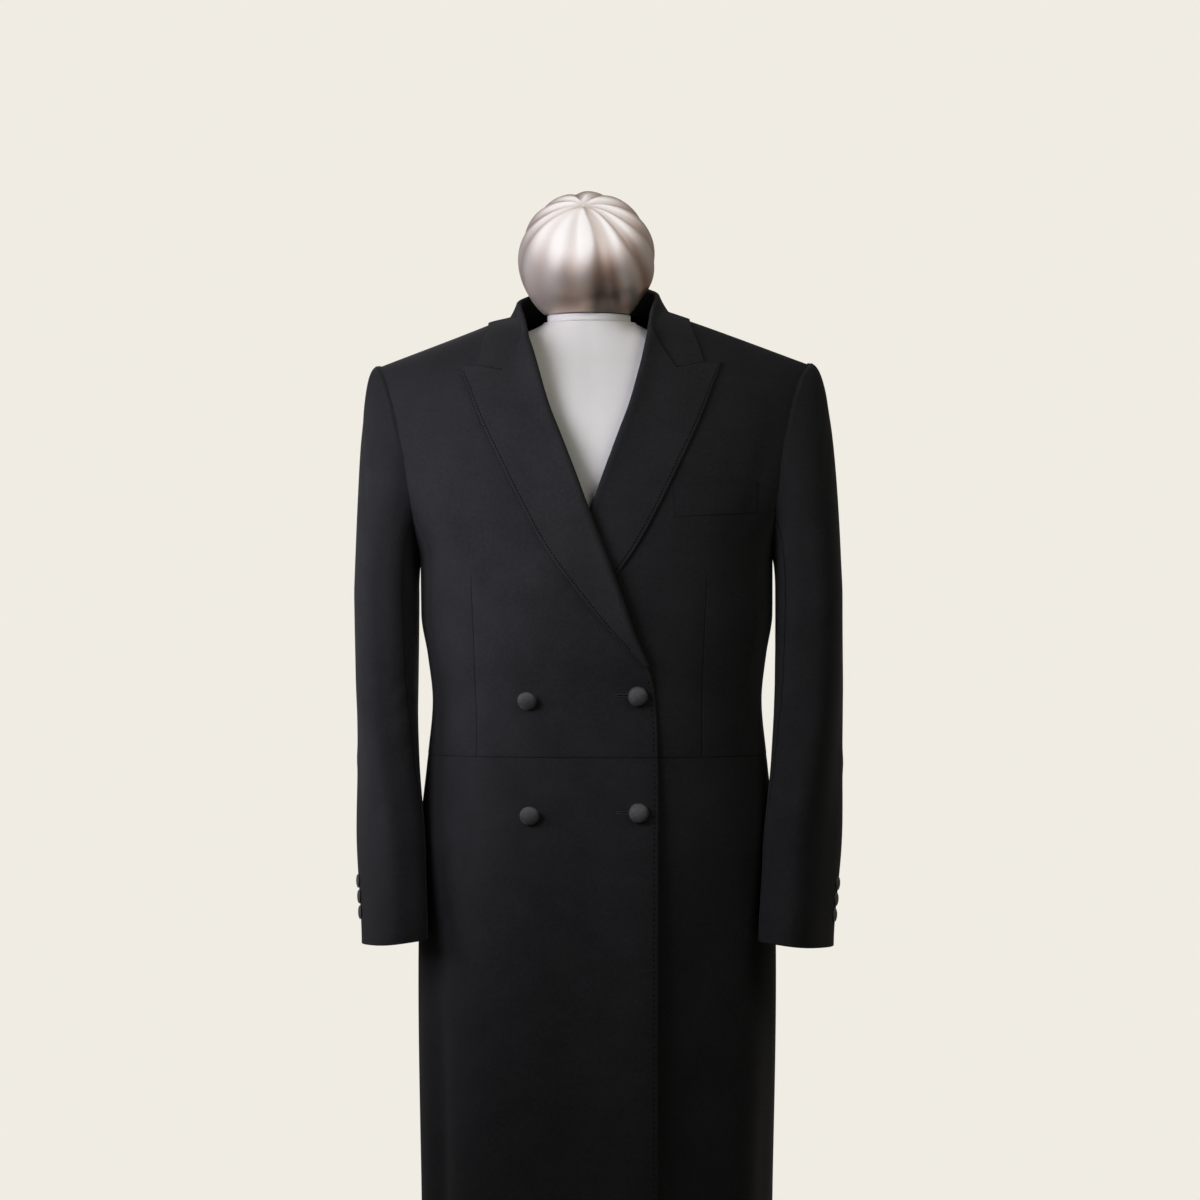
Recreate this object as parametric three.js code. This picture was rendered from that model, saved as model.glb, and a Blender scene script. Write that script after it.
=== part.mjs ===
// A kapote: a long, double-breasted frock coat, buttoned, on a limbless dress form with a pole stand.
// Millimetres, +Z up, the front faces -Y, the wearer's right is -X. The floor is z = 0 under the pole.
import * as THREE from 'three';

// ---------------------------------------------------------------- driving dimensions
const WALL = 2;                 // cloth, seam to seam
const SEAM = 0.3;               // gap between two pieces that a seam joins
const HEM_Z = 390;
const WAIST_Z = 1054;           // waist seam
const UNDERARM_Z = 1262;
const SIDE_SEAM_TOP = 1313;     // where the side seams run into the armhole
const CHEST_Z = 1300;           // above it the body rounds in towards the shoulder ridge
const BREAK_Z = 1144;           // where the lapel starts to turn back
const ROLL_TOP_Z = 1499;        // where the gorge seam meets the roll line
const SHOULDER_TIP_Z = 1471;
const SHOULDER_SLOPE = 0.374;
const RIGHT_SHOULDER_RAISE = 4.2;      // the wearer's right shoulder is padded up by this much
const BODY_POWER = 2.35;        // squareness of the body's sections, 2 is an ellipse
const ARCH_POWER = 2.2;         // squareness of the shoulder's rounding
const SLEEVE_POWER = 2.2;
const OVERLAP_LIFT = 3.4;       // the upper front lies this far out over the lower front
const LAPEL_LIFT = 3.1;         // and this much more over the lower lapel
const FOLD_RADIUS = 3.2;        // middle of the cloth at a lapel's roll
const PRESSED_FOLD = 1.6;       // the same where the other front lies on it
const LAPEL_REST = WALL / 2 + 0.8;     // middle of a lapel over the panel's outside
const FOLD_CLEAR = 1.3;         // a forepart stops this far behind its lapel's fold
const ROLL_FADE = 16;           // how far from the roll the lapel stays lofted
const SLEEVE_TUBE_Z = 1230;     // the sleeve is a plain tube below this height
const CUFF_Z = 856;
const CUFF_SLOPE = 0.12;        // the cuff drops towards the outside of the arm
const FRONT_SEAM_TURN = -35;    // the sleeve's two seams, in degrees round the arm
const BACK_SEAM_TURN = 132;
const CUFF_BUTTON_TURN = 111;
const CAP_RADIUS = 74.5;        // the ball on the form's neck
const CAP_CENTRE = { y: -12, z: 1585 };
const NECK_RADIUS = 46;
const POLE_RADIUS = 16;
const BASE_RADIUS = 190;
const BASE_HEIGHT = 14;

// ---------------------------------------------------------------- tables, a row for each height
// body: half width, and depth of the front and of the back from the pole's axis
const BODY = [
  { z: 390, half: 184.5, front: 150, back: 165 },
  { z: 572, half: 186.5, front: 143, back: 152 },
  { z: 850, half: 192, front: 131, back: 133 },
  { z: 950, half: 192, front: 125, back: 125 },
  { z: 1050, half: 183, front: 113, back: 104 },
  { z: 1112, half: 177.5, front: 112, back: 100 },
  { z: 1160, half: 182.5, front: 115, back: 104 },
  { z: 1205, half: 189.5, front: 118, back: 109 },
  { z: 1262, half: 190, front: 120, back: 114 },
  { z: 1330, half: 221, front: 120, back: 116 },
  { z: 1400, half: 239, front: 118, back: 116 },
  { z: 1467, half: 248, front: 114, back: 114 },
  { z: 1560, half: 252, front: 110, back: 112 },
];
// how the coat stands on the form: a sideways shift, and a tilt that lifts the wearer's left
const STANCE = [
  { z: 1050, shift: -3, tilt: 0 },
  { z: 1300, shift: -4, tilt: 0.006 },
  { z: 1467, shift: -7, tilt: 0.012 },
  { z: 1560, shift: -13.5, tilt: 0.05 },
];
// armhole: distance of its seam from the middle
const ARMHOLE = [
  { z: 1262, x: 190 },
  { z: 1290, x: 191.5 },
  { z: 1316, x: 194 },
  { z: 1347, x: 198.5 },
  { z: 1372, x: 201.5 },
  { z: 1395, x: 206 },
  { z: 1419, x: 211.2 },
  { z: 1442, x: 217.5 },
  { z: 1459, x: 224.5 },
  { z: SHOULDER_TIP_Z, x: 232 },
];
// front edge and roll line, on the side that the front belongs to; below zero it has crossed the middle
const ROLL = [
  { z: 390, x: -69.6 },
  { z: 1000, x: -69.6 },
  { z: 1072, x: -68.7 },
  { z: 1115, x: -66.4 },
  { z: 1144, x: -61.3 },
  { z: 1183, x: -45.5 },
  { z: 1214, x: -35.5 },
  { z: 1249, x: -23.3 },
  { z: 1285, x: -10 },
  { z: 1312, x: 0 },
  { z: 1344, x: 11.5 },
  { z: 1397, x: 31.5 },
  { z: 1424, x: 41.9 },
  { z: 1462, x: 52.8 },
  { z: 1490, x: 60 },
  { z: 1520, x: 68.4 },
  { z: 1548, x: 73.7 },
];
// outer edge of the lapel, from the break up to the peak
const LAPEL_EDGE = [
  { z: 1144, x: -61.3 },
  { z: 1154, x: -51 },
  { z: 1172, x: -35 },
  { z: 1188, x: -19.4 },
  { z: 1212, x: 1.3 },
  { z: 1238.6, x: 22 },
  { z: 1266, x: 42.3 },
  { z: 1283, x: 53 },
  { z: 1322, x: 74.3 },
  { z: 1365, x: 95.5 },
  { z: 1411, x: 117 },
  { z: 1443.5, x: 129.5 },
  { z: 1469.4, x: 138 },
];
// gorge seam and notch, from the roll line out to the lapel's peak
const GORGE = [
  { u: 0, x: 62.5, z: 1499 },
  { u: 0.2016, x: 78, z: 1483 },
  { u: 0.4032, x: 92, z: 1463.5 },
  { u: 0.72, x: 121, z: 1469.6 },
  { u: 1, x: 138, z: 1469.4 },
];
// seam between the back and the side body or skirt, in degrees round the section from the side
const BACK_SEAM = [   // it ends level with the side seam's top, as far round
  { z: 390, turn: 64 },
  { z: 1054, turn: 60 },
  { z: 1200, turn: 43 },
];
// sleeve below the armhole: middle, half width, half depth, and how far its front turns inwards
const SLEEVE = [
  { z: 849, x: 215, y: -62, half: 30, depth: 57, toe: 24 },
  { z: 950, x: 221.5, y: -38, half: 31, depth: 61, toe: 24 },
  { z: 1050, x: 226, y: -16, half: 32.5, depth: 66, toe: 12 },
  { z: 1140, x: 227.5, y: -4, half: 34, depth: 71, toe: 3 },
  { z: 1230, x: 227.5, y: 0, half: 34, depth: 75, toe: 0 },
];
// collar, from the middle of the back to the gorge: foot of the stand, crest, and outer edge of the fall
const COLLAR = [
  { u: 0, foot: [0, 68, 1532.5], crest: [0, 70, 1567], edge: [0, 1525] },
  { u: 0.2, foot: [34, 61, 1531.5], crest: [35, 62, 1564], edge: [48, 1524] },
  { u: 0.42, foot: [63, 36, 1529.5], crest: [62, 38, 1554.5], edge: [84, 1522] },
  { u: 0.62, foot: [77.5, 2, 1527.5], crest: [72.5, 2, 1544.5], edge: [104, 1517.2] },
  { u: 0.82, foot: [71.5, -31, 1519], crest: [67.3, -35, 1526], edge: [113, 1497] },
  { u: 1, foot: [63.5, -54, 1501], crest: [63.6, -61, 1506], edge: [121, 1471] },
];
// dress form: half width and depths, bottom to neck
const FORM = [
  { z: 850, half: 140, front: 92, back: 104 },
  { z: 868, half: 151, front: 101, back: 114 },
  { z: 900, half: 156, front: 104, back: 118 },
  { z: 980, half: 152, front: 98, back: 108 },
  { z: 1054, half: 146, front: 90, back: 88 },
  { z: 1120, half: 148, front: 96, back: 86 },
  { z: 1200, half: 158, front: 105, back: 96 },
  { z: 1262, half: 166, front: 109, back: 103 },
  { z: 1300, half: 172, front: 109, back: 105 },
  { z: 1350, half: 181, front: 105, back: 103 },
  { z: 1400, half: 188, front: 97, back: 98 },
  { z: 1438, half: 191, front: 83, back: 84 },
  { z: 1457, half: 191, front: 72, back: 75 },
  { z: 1469, half: 184, front: 65, back: 68 },
  { z: 1478, half: 166, front: 59, back: 62 },
  { z: 1487, half: 136, front: 54, back: 57 },
  { z: 1497, half: 104, front: 50, back: 53 },
  { z: 1506, half: 76, front: 48, back: 49 },
  { z: 1513, half: 58, front: 47, back: 47 },
  { z: 1518, half: 50, front: 47, back: 46 },
];
// buttons on the over front, the wearer's right: two fastened near its edge and two that only show
const FRONT_BUTTONS = [
  { name: 'button_front_upper_fastened', x: 48.2, z: 1118.8 },
  { name: 'button_front_lower_fastened', x: 49.5, z: 995.4 },
  { name: 'button_front_upper_showing', x: -66.1, z: 1114.5 },
  { name: 'button_front_lower_showing', x: -63.4, z: 992.9 },
];
const CUFF_BUTTONS = [
  { place: 'upper', z: 921.4 },
  { place: 'middle', z: 905.2 },
  { place: 'lower', z: 889 },
];
// covered button, radius and height from the shank to the crown, as parts of its radius
const BUTTON_PROFILE = [
  { r: 0, h: 0 },
  { r: 0.45, h: 0 },
  { r: 0.47, h: 0.08 },
  { r: 0.9, h: 0.12 },
  { r: 1, h: 0.26 },
  { r: 0.93, h: 0.44 },
  { r: 0.62, h: 0.6 },
  { r: 0, h: 0.68 },
];
const FRONT_BUTTON_RADIUS = 10.8;
const CUFF_BUTTON_RADIUS = 7.4;
const CUFF_BUTTON_CROWN = 0.5;         // cuff buttons are this much flatter than the front ones
const COLLAR_REST = LAPEL_REST + 1.3;   // middle of the collar's fall over the coat
const COLLAR_HOLLOW = 6.5;             // how far the fall sinks between its fold and its edge
const COLLAR_END = 0.72;               // the collar's corner, along the gorge and notch
const GORGE_GAP = 1;                   // between the collar's end and the lapel's top, both lofted
const WELT = { x0: 87, x1: 174.5, z: 1306, height: 33.5, slope: 0.048 };

// the coat's two fronts and sleeves: the wearer's right lies over and its sleeve is cut closer
const RIGHT = { name: 'right', sign: -1, over: true, girth: 0.985, out: -0.7 };
const WHOLE = { name: 'whole', sign: 1, over: false };
const LEFT = { name: 'left', sign: 1, over: false, girth: 1.065, out: 1.2 };

// ---------------------------------------------------------------- finishes
const finish = (color, roughness, metalness = 0) => ({ color, roughness, metalness });
const WOOL = finish(0x17181a, 0.85);
const FACING = finish(0x1b1c1f, 0.82);
const BUTTON_CLOTH = finish(0x2b2c2f, 0.7);
const SATIN = finish(0xcdbfb6, 0.3, 0.2);
const JERSEY = finish(0xd9d2c8, 0.9);
const STEEL = finish(0x9a9c9f, 0.35, 1);

// ---------------------------------------------------------------- small maths
const degrees = (angle) => (angle * Math.PI) / 180;
const mix = (a, b, t) => a + (b - a) * t;
const clamp01 = (t) => Math.min(1, Math.max(0, t));
const smooth = (t) => clamp01(t) ** 2 * (3 - 2 * clamp01(t));
const signedPower = (value, power) => Math.sign(value) * Math.abs(value) ** power;
const range = (count) => Array.from({ length: count + 1 }, (_, i) => i / count);

// smooth curve through one column of a table, which never overshoots its rows
function column(rows, key, by = 'z') {
  const at = rows.map((row) => row[by]);
  const value = rows.map((row) => row[key]);
  const last = rows.length - 1;
  const step = at.slice(1).map((next, i) => next - at[i]);
  const rise = step.map((size, i) => (value[i + 1] - value[i]) / size);
  const slope = at.map((_, i) => {
    if (i === 0 || i === last || rise[i - 1] * rise[i] <= 0) return 0;
    const before = 2 * step[i] + step[i - 1];
    const after = step[i] + 2 * step[i - 1];
    return (before + after) / (before / rise[i - 1] + after / rise[i]);
  });
  return (place) => {
    const p = Math.min(at[last], Math.max(at[0], place));
    let i = 0;
    while (i < last - 1 && p > at[i + 1]) i += 1;
    const t = (p - at[i]) / step[i];
    const start = (1 + 2 * t) * (1 - t) ** 2 * value[i] + t * (1 - t) ** 2 * step[i] * slope[i];
    const end = t * t * (3 - 2 * t) * value[i + 1] + t * t * (t - 1) * step[i] * slope[i + 1];
    return start + end;
  };
}

// straight runs between the rows
function polyline(rows, key, by = 'u') {
  return (place) => {
    let i = 0;
    while (i < rows.length - 2 && place > rows[i + 1][by]) i += 1;
    const t = (place - rows[i][by]) / (rows[i + 1][by] - rows[i][by]);
    return mix(rows[i][key], rows[i + 1][key], t);
  };
}

// the height or place where a shrinking update settles
function settle(start, update) {
  let value = start;
  for (let i = 0; i < 40; i += 1) value = mix(value, update(value), 0.7);
  return value;
}

const halfWidth = column(BODY, 'half');
const frontDepth = column(BODY, 'front');
const backDepth = column(BODY, 'back');
const stanceShift = column(STANCE, 'shift');
const stanceTilt = column(STANCE, 'tilt');
const armholeX = column(ARMHOLE, 'x');
const rollX = column(ROLL, 'x');
const lapelEdgeX = column(LAPEL_EDGE, 'x');
const gorgeX = polyline(GORGE, 'x');
const gorgeZ = polyline(GORGE, 'z');

// ---------------------------------------------------------------- the coat's body surface
// height of the shoulder ridge; towards the middle it is only a guide for the neck
function ridge(x) {
  const straight = SHOULDER_TIP_Z - 0.5 + SHOULDER_SLOPE * (231 - Math.abs(x));
  return straight + 20 * clamp01(1 - Math.abs(x) / 75) ** 1.5;
}

// a point on the body from its turn round the section: -90 is the front, 0 the side, 90 the back
function bodyAt(turn, z) {
  const angle = degrees(turn);
  const x = halfWidth(z) * signedPower(Math.cos(angle), 2 / BODY_POWER);
  const depth = turn < 0 ? frontDepth(z) : backDepth(z);
  const climb = clamp01((z - CHEST_Z) / (ridge(x) - CHEST_Z));
  const arch = (1 - climb ** ARCH_POWER) ** (1 / ARCH_POWER);
  const y = depth * signedPower(Math.sin(angle), 2 / BODY_POWER) * arch;
  return new THREE.Vector3(x, y, z);
}

// turn at which the section passes the given x
function turnAt(x, z, face) {
  const part = Math.min(1, Math.abs(x) / halfWidth(z));
  const turn = (Math.acos(signedPower(x, 0) * part ** (BODY_POWER / 2)) * 180) / Math.PI;
  return face === 'front' ? -turn : turn;
}

function bodyNormal(turn, z) {
  const here = bodyAt(turn, z);
  if (z > ridge(here.x) - 0.05) return new THREE.Vector3(SHOULDER_SLOPE, 0, 1).normalize();
  const low = Math.min(z, ridge(here.x) - 1.2);
  const along = bodyAt(turn, low + 0.6).sub(bodyAt(turn, low - 0.6));
  const around = bodyAt(turn + 0.3, low).sub(bodyAt(turn - 0.3, low));
  return around.cross(along).normalize();
}

// a front's outside, moved out by lift; x is on the front's own side
function frontPoint(x, z, side, lift = 0) {
  const turn = turnAt(x, z, 'front');
  const out = lift + (side.over ? overLift(x, z) : 0);
  return bodyAt(turn, z).addScaledVector(bodyNormal(turn, z), out);
}

// the over front rides on the under front, and on its lapel above the break
function overLift(x, z) {
  const fromLowerEdge = -x - rollX(z);
  const overFront = OVERLAP_LIFT * smooth((fromLowerEdge + 44) / 30);
  const overLapel = LAPEL_LIFT * smooth((fromLowerEdge + 40) / 32) * smooth((z - 1118) / 40);
  return overFront + overLapel;
}

// how much the wearer's right shoulder rises, close under its ridge and outside the collar
function shoulderRaise(x, z) {
  const climb = (z - CHEST_Z) / (ridge(x) - CHEST_Z);
  return RIGHT_SHOULDER_RAISE * smooth((climb - 0.8) / 0.2) * smooth((-x - 75) / 35);
}

// how the coat hangs on the form: mirrored to its side, shifted and tilted
function worn(point, side) {
  const x = point.x * side.sign;
  const rise = stanceTilt(point.z) * x + shoulderRaise(x, point.z);
  return new THREE.Vector3(x + stanceShift(point.z), point.y, point.z + rise);
}

// ---------------------------------------------------------------- solids from grids
function solid(name, positions, triangles, look) {
  const geometry = new THREE.BufferGeometry();
  geometry.setAttribute('position', new THREE.Float32BufferAttribute(positions, 3));
  geometry.setIndex(triangles);
  geometry.computeVertexNormals();
  const mesh = new THREE.Mesh(geometry, new THREE.MeshStandardMaterial(look));
  mesh.name = name;
  return mesh;
}

// a closed wall between two grids of points, outside and inside, rows by columns
function wallBetween(name, outside, inside, look) {
  const rows = outside.length;
  const columns = outside[0].length;
  const positions = [...outside.flat(), ...inside.flat()].flatMap((p) => p.toArray());
  const outer = (r, c) => r * columns + c;
  const inner = (r, c) => rows * columns + r * columns + c;
  const triangles = [];
  const quad = (a, b, c, d) => triangles.push(a, b, c, a, c, d);
  for (let r = 0; r + 1 < rows; r += 1) {
    for (let c = 0; c + 1 < columns; c += 1) {
      quad(outer(r, c), outer(r, c + 1), outer(r + 1, c + 1), outer(r + 1, c));
      quad(inner(r, c), inner(r + 1, c), inner(r + 1, c + 1), inner(r, c + 1));
    }
    quad(outer(r, 0), outer(r + 1, 0), inner(r + 1, 0), inner(r, 0));
    quad(outer(r + 1, columns - 1), outer(r, columns - 1), inner(r, columns - 1), inner(r + 1, columns - 1));
  }
  for (let c = 0; c + 1 < columns; c += 1) {
    quad(outer(0, c + 1), outer(0, c), inner(0, c), inner(0, c + 1));
    quad(outer(rows - 1, c), outer(rows - 1, c + 1), inner(rows - 1, c + 1), inner(rows - 1, c));
  }
  return solid(name, positions, triangles, look);
}

// a piece of cloth on one side of the coat, from (outside, inside) pairs in rows that go up
function clothPiece(name, pairs, side, look) {
  const turned = (row) => (side.sign > 0 ? row : [...row].reverse());
  const grid = (pick) => pairs.map((row) => turned(row).map((pair) => worn(pair[pick], side)));
  return wallBetween(name, grid(0), grid(1), look);
}

// outside and inside of the body's wall at a place
function bodyPair(turn, z, out = 0) {
  const normal = bodyNormal(turn, z);
  const point = bodyAt(turn, z);
  return [
    point.clone().addScaledVector(normal, out),
    point.clone().addScaledVector(normal, out - WALL),
  ];
}

// ---------------------------------------------------------------- panels
const SEAM_TURN = 0.07;          // half a seam's gap, in degrees round the body
const BODICE_ROWS = 8;           // rows from the waist seam to the top of the side seams
const SKIRT_ROWS = 8;            // and from the hem to the waist seam
const sideSeamTurn = turnAt(armholeX(SIDE_SEAM_TOP), SIDE_SEAM_TOP, 'front');
const backSeamTurn = column([...BACK_SEAM, { z: SIDE_SEAM_TOP, turn: -sideSeamTurn }], 'turn');

// radius of the fold at a lapel's roll, tight at the break and where the other front presses on it
function foldRadius(z, side) {
  const full = side.over ? FOLD_RADIUS : mix(PRESSED_FOLD, FOLD_RADIUS, smooth((z - 1312) / 50));
  return mix(1.3, full, smooth((z - BREAK_Z) / 60));
}

// where a forepart ends: its front edge, then just behind the fold, then out to the neck point
function forepartEdge(z, side) {
  const behindFold = (foldRadius(z, side) + FOLD_CLEAR) * smooth((z - BREAK_Z + 4) / 15);
  return rollX(z) + behindFold + 5.5 * smooth((z - ROLL_TOP_Z) / 28);
}

// just under the ridge, where the rounding leaves half a seam's gap to the middle
function shoulderSeam(x) {
  return ridge(x) - 0.0001;
}

// a row of the upper body follows the shoulder more the higher it is
function climbingRow(climb, top) {
  return (x) => mix(SIDE_SEAM_TOP, top(x), climb);
}

function forepart(side) {
  const across = range(9);
  const lower = range(BODICE_ROWS).slice(0, -1).map((v) => {
    const z = mix(WAIST_Z + SEAM / 2, SIDE_SEAM_TOP, v);
    const from = turnAt(forepartEdge(z, side), z, 'front');
    return across.map((u) => ({ turn: mix(from, sideSeamTurn - SEAM_TURN, u), z }));
  });
  const upper = range(9).map((v) => {
    const row = climbingRow(Math.sin((v * Math.PI) / 2) ** 0.9, shoulderSeam);
    const start = settle(60, (x) => forepartEdge(row(x), side));
    const end = settle(210, (x) => armholeX(row(x)));
    const startTurn = turnAt(start, row(start), 'front');
    const endTurn = turnAt(end, row(end), 'front');
    return across.map((u) => {
      const turn = mix(startTurn, endTurn, u);
      const z = settle(row(start), (height) => row(bodyAt(turn, height).x));
      return { turn, z };
    });
  });
  const pairs = [...lower, ...upper].map((row) => row.map(({ turn, z }) => {
    const lift = side.over ? overLift(bodyAt(turn, z).x, z) : 0;
    return bodyPair(turn, z, lift);
  }));
  return clothPiece(`forepart_${side.name}`, pairs, side, WOOL);
}

// lower edge of the armhole at a turn round the body
function armholeZ(turn) {
  const over = (z) => armholeX(z) - halfWidth(z) * Math.cos(degrees(turn)) ** (2 / BODY_POWER);
  let low = UNDERARM_Z;
  let high = SIDE_SEAM_TOP + 12;
  for (let i = 0; i < 40; i += 1) {
    const middle = (low + high) / 2;
    if (over(middle) > 0) low = middle;
    else high = middle;
  }
  return low;
}

function sideBody(side) {
  const turnAcross = (u, z) => mix(sideSeamTurn + SEAM_TURN, backSeamTurn(z) - SEAM_TURN, u);
  const pairs = range(BODICE_ROWS).map((v) => range(6).map((u) => {
    const top = settle(UNDERARM_Z, (z) => armholeZ(turnAcross(u, z)));
    const z = mix(WAIST_Z + SEAM / 2, top, v);
    return bodyPair(turnAcross(u, z), z);
  }));
  return clothPiece(`side_body_${side.name}`, pairs, side, WOOL);
}

// top of the back: the neck seam, then the shoulder seam
function backTop(x) {
  const neck = 1526.8 + 5 * (1 - (x / 78) ** 2);
  return x < 78 ? neck : shoulderSeam(x);
}

function back(side) {
  const across = range(7);
  const centre = SEAM / 2 + 0.05;
  const place = (z) => across.map((u) => {
    const from = turnAt(centre, z, 'back');
    return { turn: mix(from, backSeamTurn(z) + SEAM_TURN, u), z };
  });
  const tail = range(SKIRT_ROWS).slice(0, -1).map((v) => place(mix(HEM_Z, WAIST_Z - SEAM / 2, v)));
  const bodice = range(BODICE_ROWS).slice(0, -1).map((v) => place(mix(WAIST_Z + SEAM / 2, SIDE_SEAM_TOP, v)));
  const upper = range(9).map((v) => {
    const row = climbingRow(Math.sin((v * Math.PI) / 2) ** 0.9, backTop);
    const end = settle(210, (x) => armholeX(row(x)));
    return across.map((u) => {
      const along = settle(row(centre), (height) => {
        const from = turnAt(centre, height, 'back');
        return row(bodyAt(mix(from, turnAt(end, row(end), 'back'), u), height).x);
      });
      const from = turnAt(centre, along, 'back');
      return { turn: mix(from, turnAt(end, row(end), 'back'), u), z: along };
    });
  });
  const pairs = [...tail, ...bodice, ...upper].map((row) => row.map(({ turn, z }) => bodyPair(turn, z)).reverse());
  return clothPiece(`back_${side.name}`, pairs, side, WOOL);
}

function skirt(side) {
  const pairs = range(SKIRT_ROWS).map((v) => {
    const z = mix(HEM_Z, WAIST_Z - SEAM / 2, v);
    const from = turnAt(rollX(z), z, 'front');
    return range(16).map((u) => {
      const turn = mix(from, backSeamTurn(z) - SEAM_TURN, u);
      const x = bodyAt(turn, z).x;
      return bodyPair(turn, z, side.over && turn < 0 ? overLift(x, z) : 0);
    });
  });
  return clothPiece(`skirt_${side.name}`, pairs, side, WOOL);
}

// ---------------------------------------------------------------- lapels, collar and welt
// the middle of a folded strip and its normals, from points in a row: half the wall to each side
function stripPairs(middle) {
  return middle.map((row, r) => row.map((point, c) => {
    const before = middle[Math.max(0, r - 1)][c];
    const after = middle[Math.min(middle.length - 1, r + 1)][c];
    const left = row[Math.max(0, c - 1)];
    const right = row[Math.min(row.length - 1, c + 1)];
    const along = after.clone().sub(before);
    const across = right.clone().sub(left);
    const normal = across.cross(along).normalize();
    return [
      point.clone().addScaledVector(normal, WALL / 2),
      point.clone().addScaledVector(normal, -WALL / 2),
    ];
  }));
}

// a fold is half a circle from the panel's edge round to the top, in steps of its turn
const FOLD_TURNS = [0, 60, 110, 150, 180];

// the lapel's outline in x and z; u goes from the roll to the edge, v from the break to the gorge
function lapelOutline(u, v) {
  const rollZ = mix(BREAK_Z + 6, ROLL_TOP_Z - SEAM, v);
  const edgeZ = mix(BREAK_Z + 6, 1469.4, v ** 0.96);
  const bend = v ** 9;
  return {
    x: mix(rollX(rollZ), lapelEdgeX(edgeZ), u) + bend * (gorgeX(u) - mix(gorgeX(0), gorgeX(1), u)),
    z: mix(rollZ, edgeZ, u) + bend * (gorgeZ(u) - mix(gorgeZ(0), gorgeZ(1), u)),
  };
}

function lapel(side) {
  const middle = range(16).map((v) => {
    const roll = lapelOutline(0, v);
    const radius = foldRadius(roll.z, side);
    const fold = FOLD_TURNS.map((turn) => {
      const across = radius * (1 - Math.sin(degrees(turn)));
      return frontPoint(roll.x + across, roll.z, side, -WALL / 2 + radius * (1 - Math.cos(degrees(turn))));
    });
    const flat = [0.2, 0.4, 0.7, 1].map((u) => {
      const place = lapelOutline(u, v);
      const away = Math.hypot(place.x - roll.x, place.z - roll.z);
      const loft = (2 * radius - WALL / 2 - LAPEL_REST) * Math.exp(-Math.max(0, away - radius) / ROLL_FADE);
      return frontPoint(place.x, place.z, side, LAPEL_REST + Math.max(0, loft));
    });
    return [...fold, ...flat];
  });
  return clothPiece(`lapel_${side.name}`, stripPairs(middle), side, FACING);
}

// a collar station's three points; the fall's edge rests on the coat
function collarStation(u) {
  const part = (key, index) => column(COLLAR.map((row) => ({ u: row.u, value: row[key][index] })), 'value', 'u')(u);
  const edgeX = part('edge', 0);
  const edgeZ = Math.min(part('edge', 1), ridge(edgeX) - 0.1);
  const face = part('crest', 1) < 0 ? 'front' : 'back';
  const turn = turnAt(edgeX, edgeZ, face);
  return {
    foot: new THREE.Vector3(part('foot', 0), part('foot', 1), part('foot', 2)),
    crest: new THREE.Vector3(part('crest', 0), part('crest', 1), part('crest', 2)),
    edge: bodyAt(turn, edgeZ).addScaledVector(bodyNormal(turn, edgeZ), COLLAR_REST),
  };
}

// a point of the collar's fall, moved out to lie on the coat where it would be inside it
function restOnCoat(point) {
  const face = point.y < 0 ? 'front' : 'back';
  for (let i = 0; i < 8; i += 1) {
    const z = Math.min(point.z, ridge(point.x) - 0.3);
    const turn = turnAt(point.x, z, face);
    const normal = bodyNormal(turn, z);
    const above = point.clone().sub(bodyAt(turn, z)).dot(normal);
    if (above < COLLAR_REST) point.addScaledVector(normal, COLLAR_REST - above);
  }
  return point;
}

function collarRow(u) {
  const { foot, crest, edge } = collarStation(u);
  const radius = 2.6;
  const outward = edge.clone().sub(crest).setZ(0).normalize();
  const up = new THREE.Vector3(0, 0, 1);
  const fold = FOLD_TURNS.map((turn) => crest.clone()
    .addScaledVector(outward, radius * (1 - Math.cos(degrees(turn))))
    .addScaledVector(up, radius * (Math.sin(degrees(turn)) - 1)));
  const start = fold[fold.length - 1];
  const bend = smooth((u - 0.8) / 0.2);
  const fall = [0.28, 0.56, 0.78, 1].map((s) => {
    const gorge = { x: gorgeX(s * COLLAR_END), z: gorgeZ(s * COLLAR_END) + GORGE_GAP };
    const endPoint = frontPoint(gorge.x, gorge.z, WHOLE, COLLAR_REST);
    const hollow = new THREE.Vector3(0, 0, -4 * COLLAR_HOLLOW * s * (1 - s));
    return restOnCoat(start.clone().lerp(edge, s).add(hollow).lerp(endPoint, bend));
  });
  return [foot, foot.clone().lerp(fold[0], 0.5), ...fold, ...fall];
}

function collar() {
  const half = range(15).map((u) => collarRow(u));
  const mirrored = half.slice(1).reverse().map((row) => row.map((p) => new THREE.Vector3(-p.x, p.y, p.z)));
  const pairs = stripPairs([...mirrored, ...half]);
  return clothPiece('collar', pairs, WHOLE, FACING);
}

function breastWelt() {
  const pairs = range(2).map((v) => range(6).map((u) => {
    const x = mix(WELT.x0, WELT.x1, u);
    const z = WELT.z + WELT.slope * (x - WELT.x0) + WELT.height * v;
    return [WALL + 2 * SEAM, 2 * SEAM].map((lift) => frontPoint(x, z, LEFT, lift));
  }));
  return clothPiece('breast_welt', pairs, LEFT, WOOL);
}

// ---------------------------------------------------------------- sleeves
const ARMHOLE_GAP = 1.1;          // the faceted armhole needs more than a straight seam
const armMiddle = (SHOULDER_TIP_Z + UNDERARM_Z) / 2;
const armReach = (SHOULDER_TIP_Z - UNDERARM_Z) / 2;

// a point of the armhole seam from its turn round the arm: -90 underarm, 0 front, 90 shoulder tip
function armholePoint(turn) {
  const z = armMiddle + armReach * Math.sin(degrees(turn));
  const face = Math.cos(degrees(turn)) >= 0 ? 'front' : 'back';
  return bodyAt(turnAt(armholeX(z), z, face), z);
}

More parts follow.
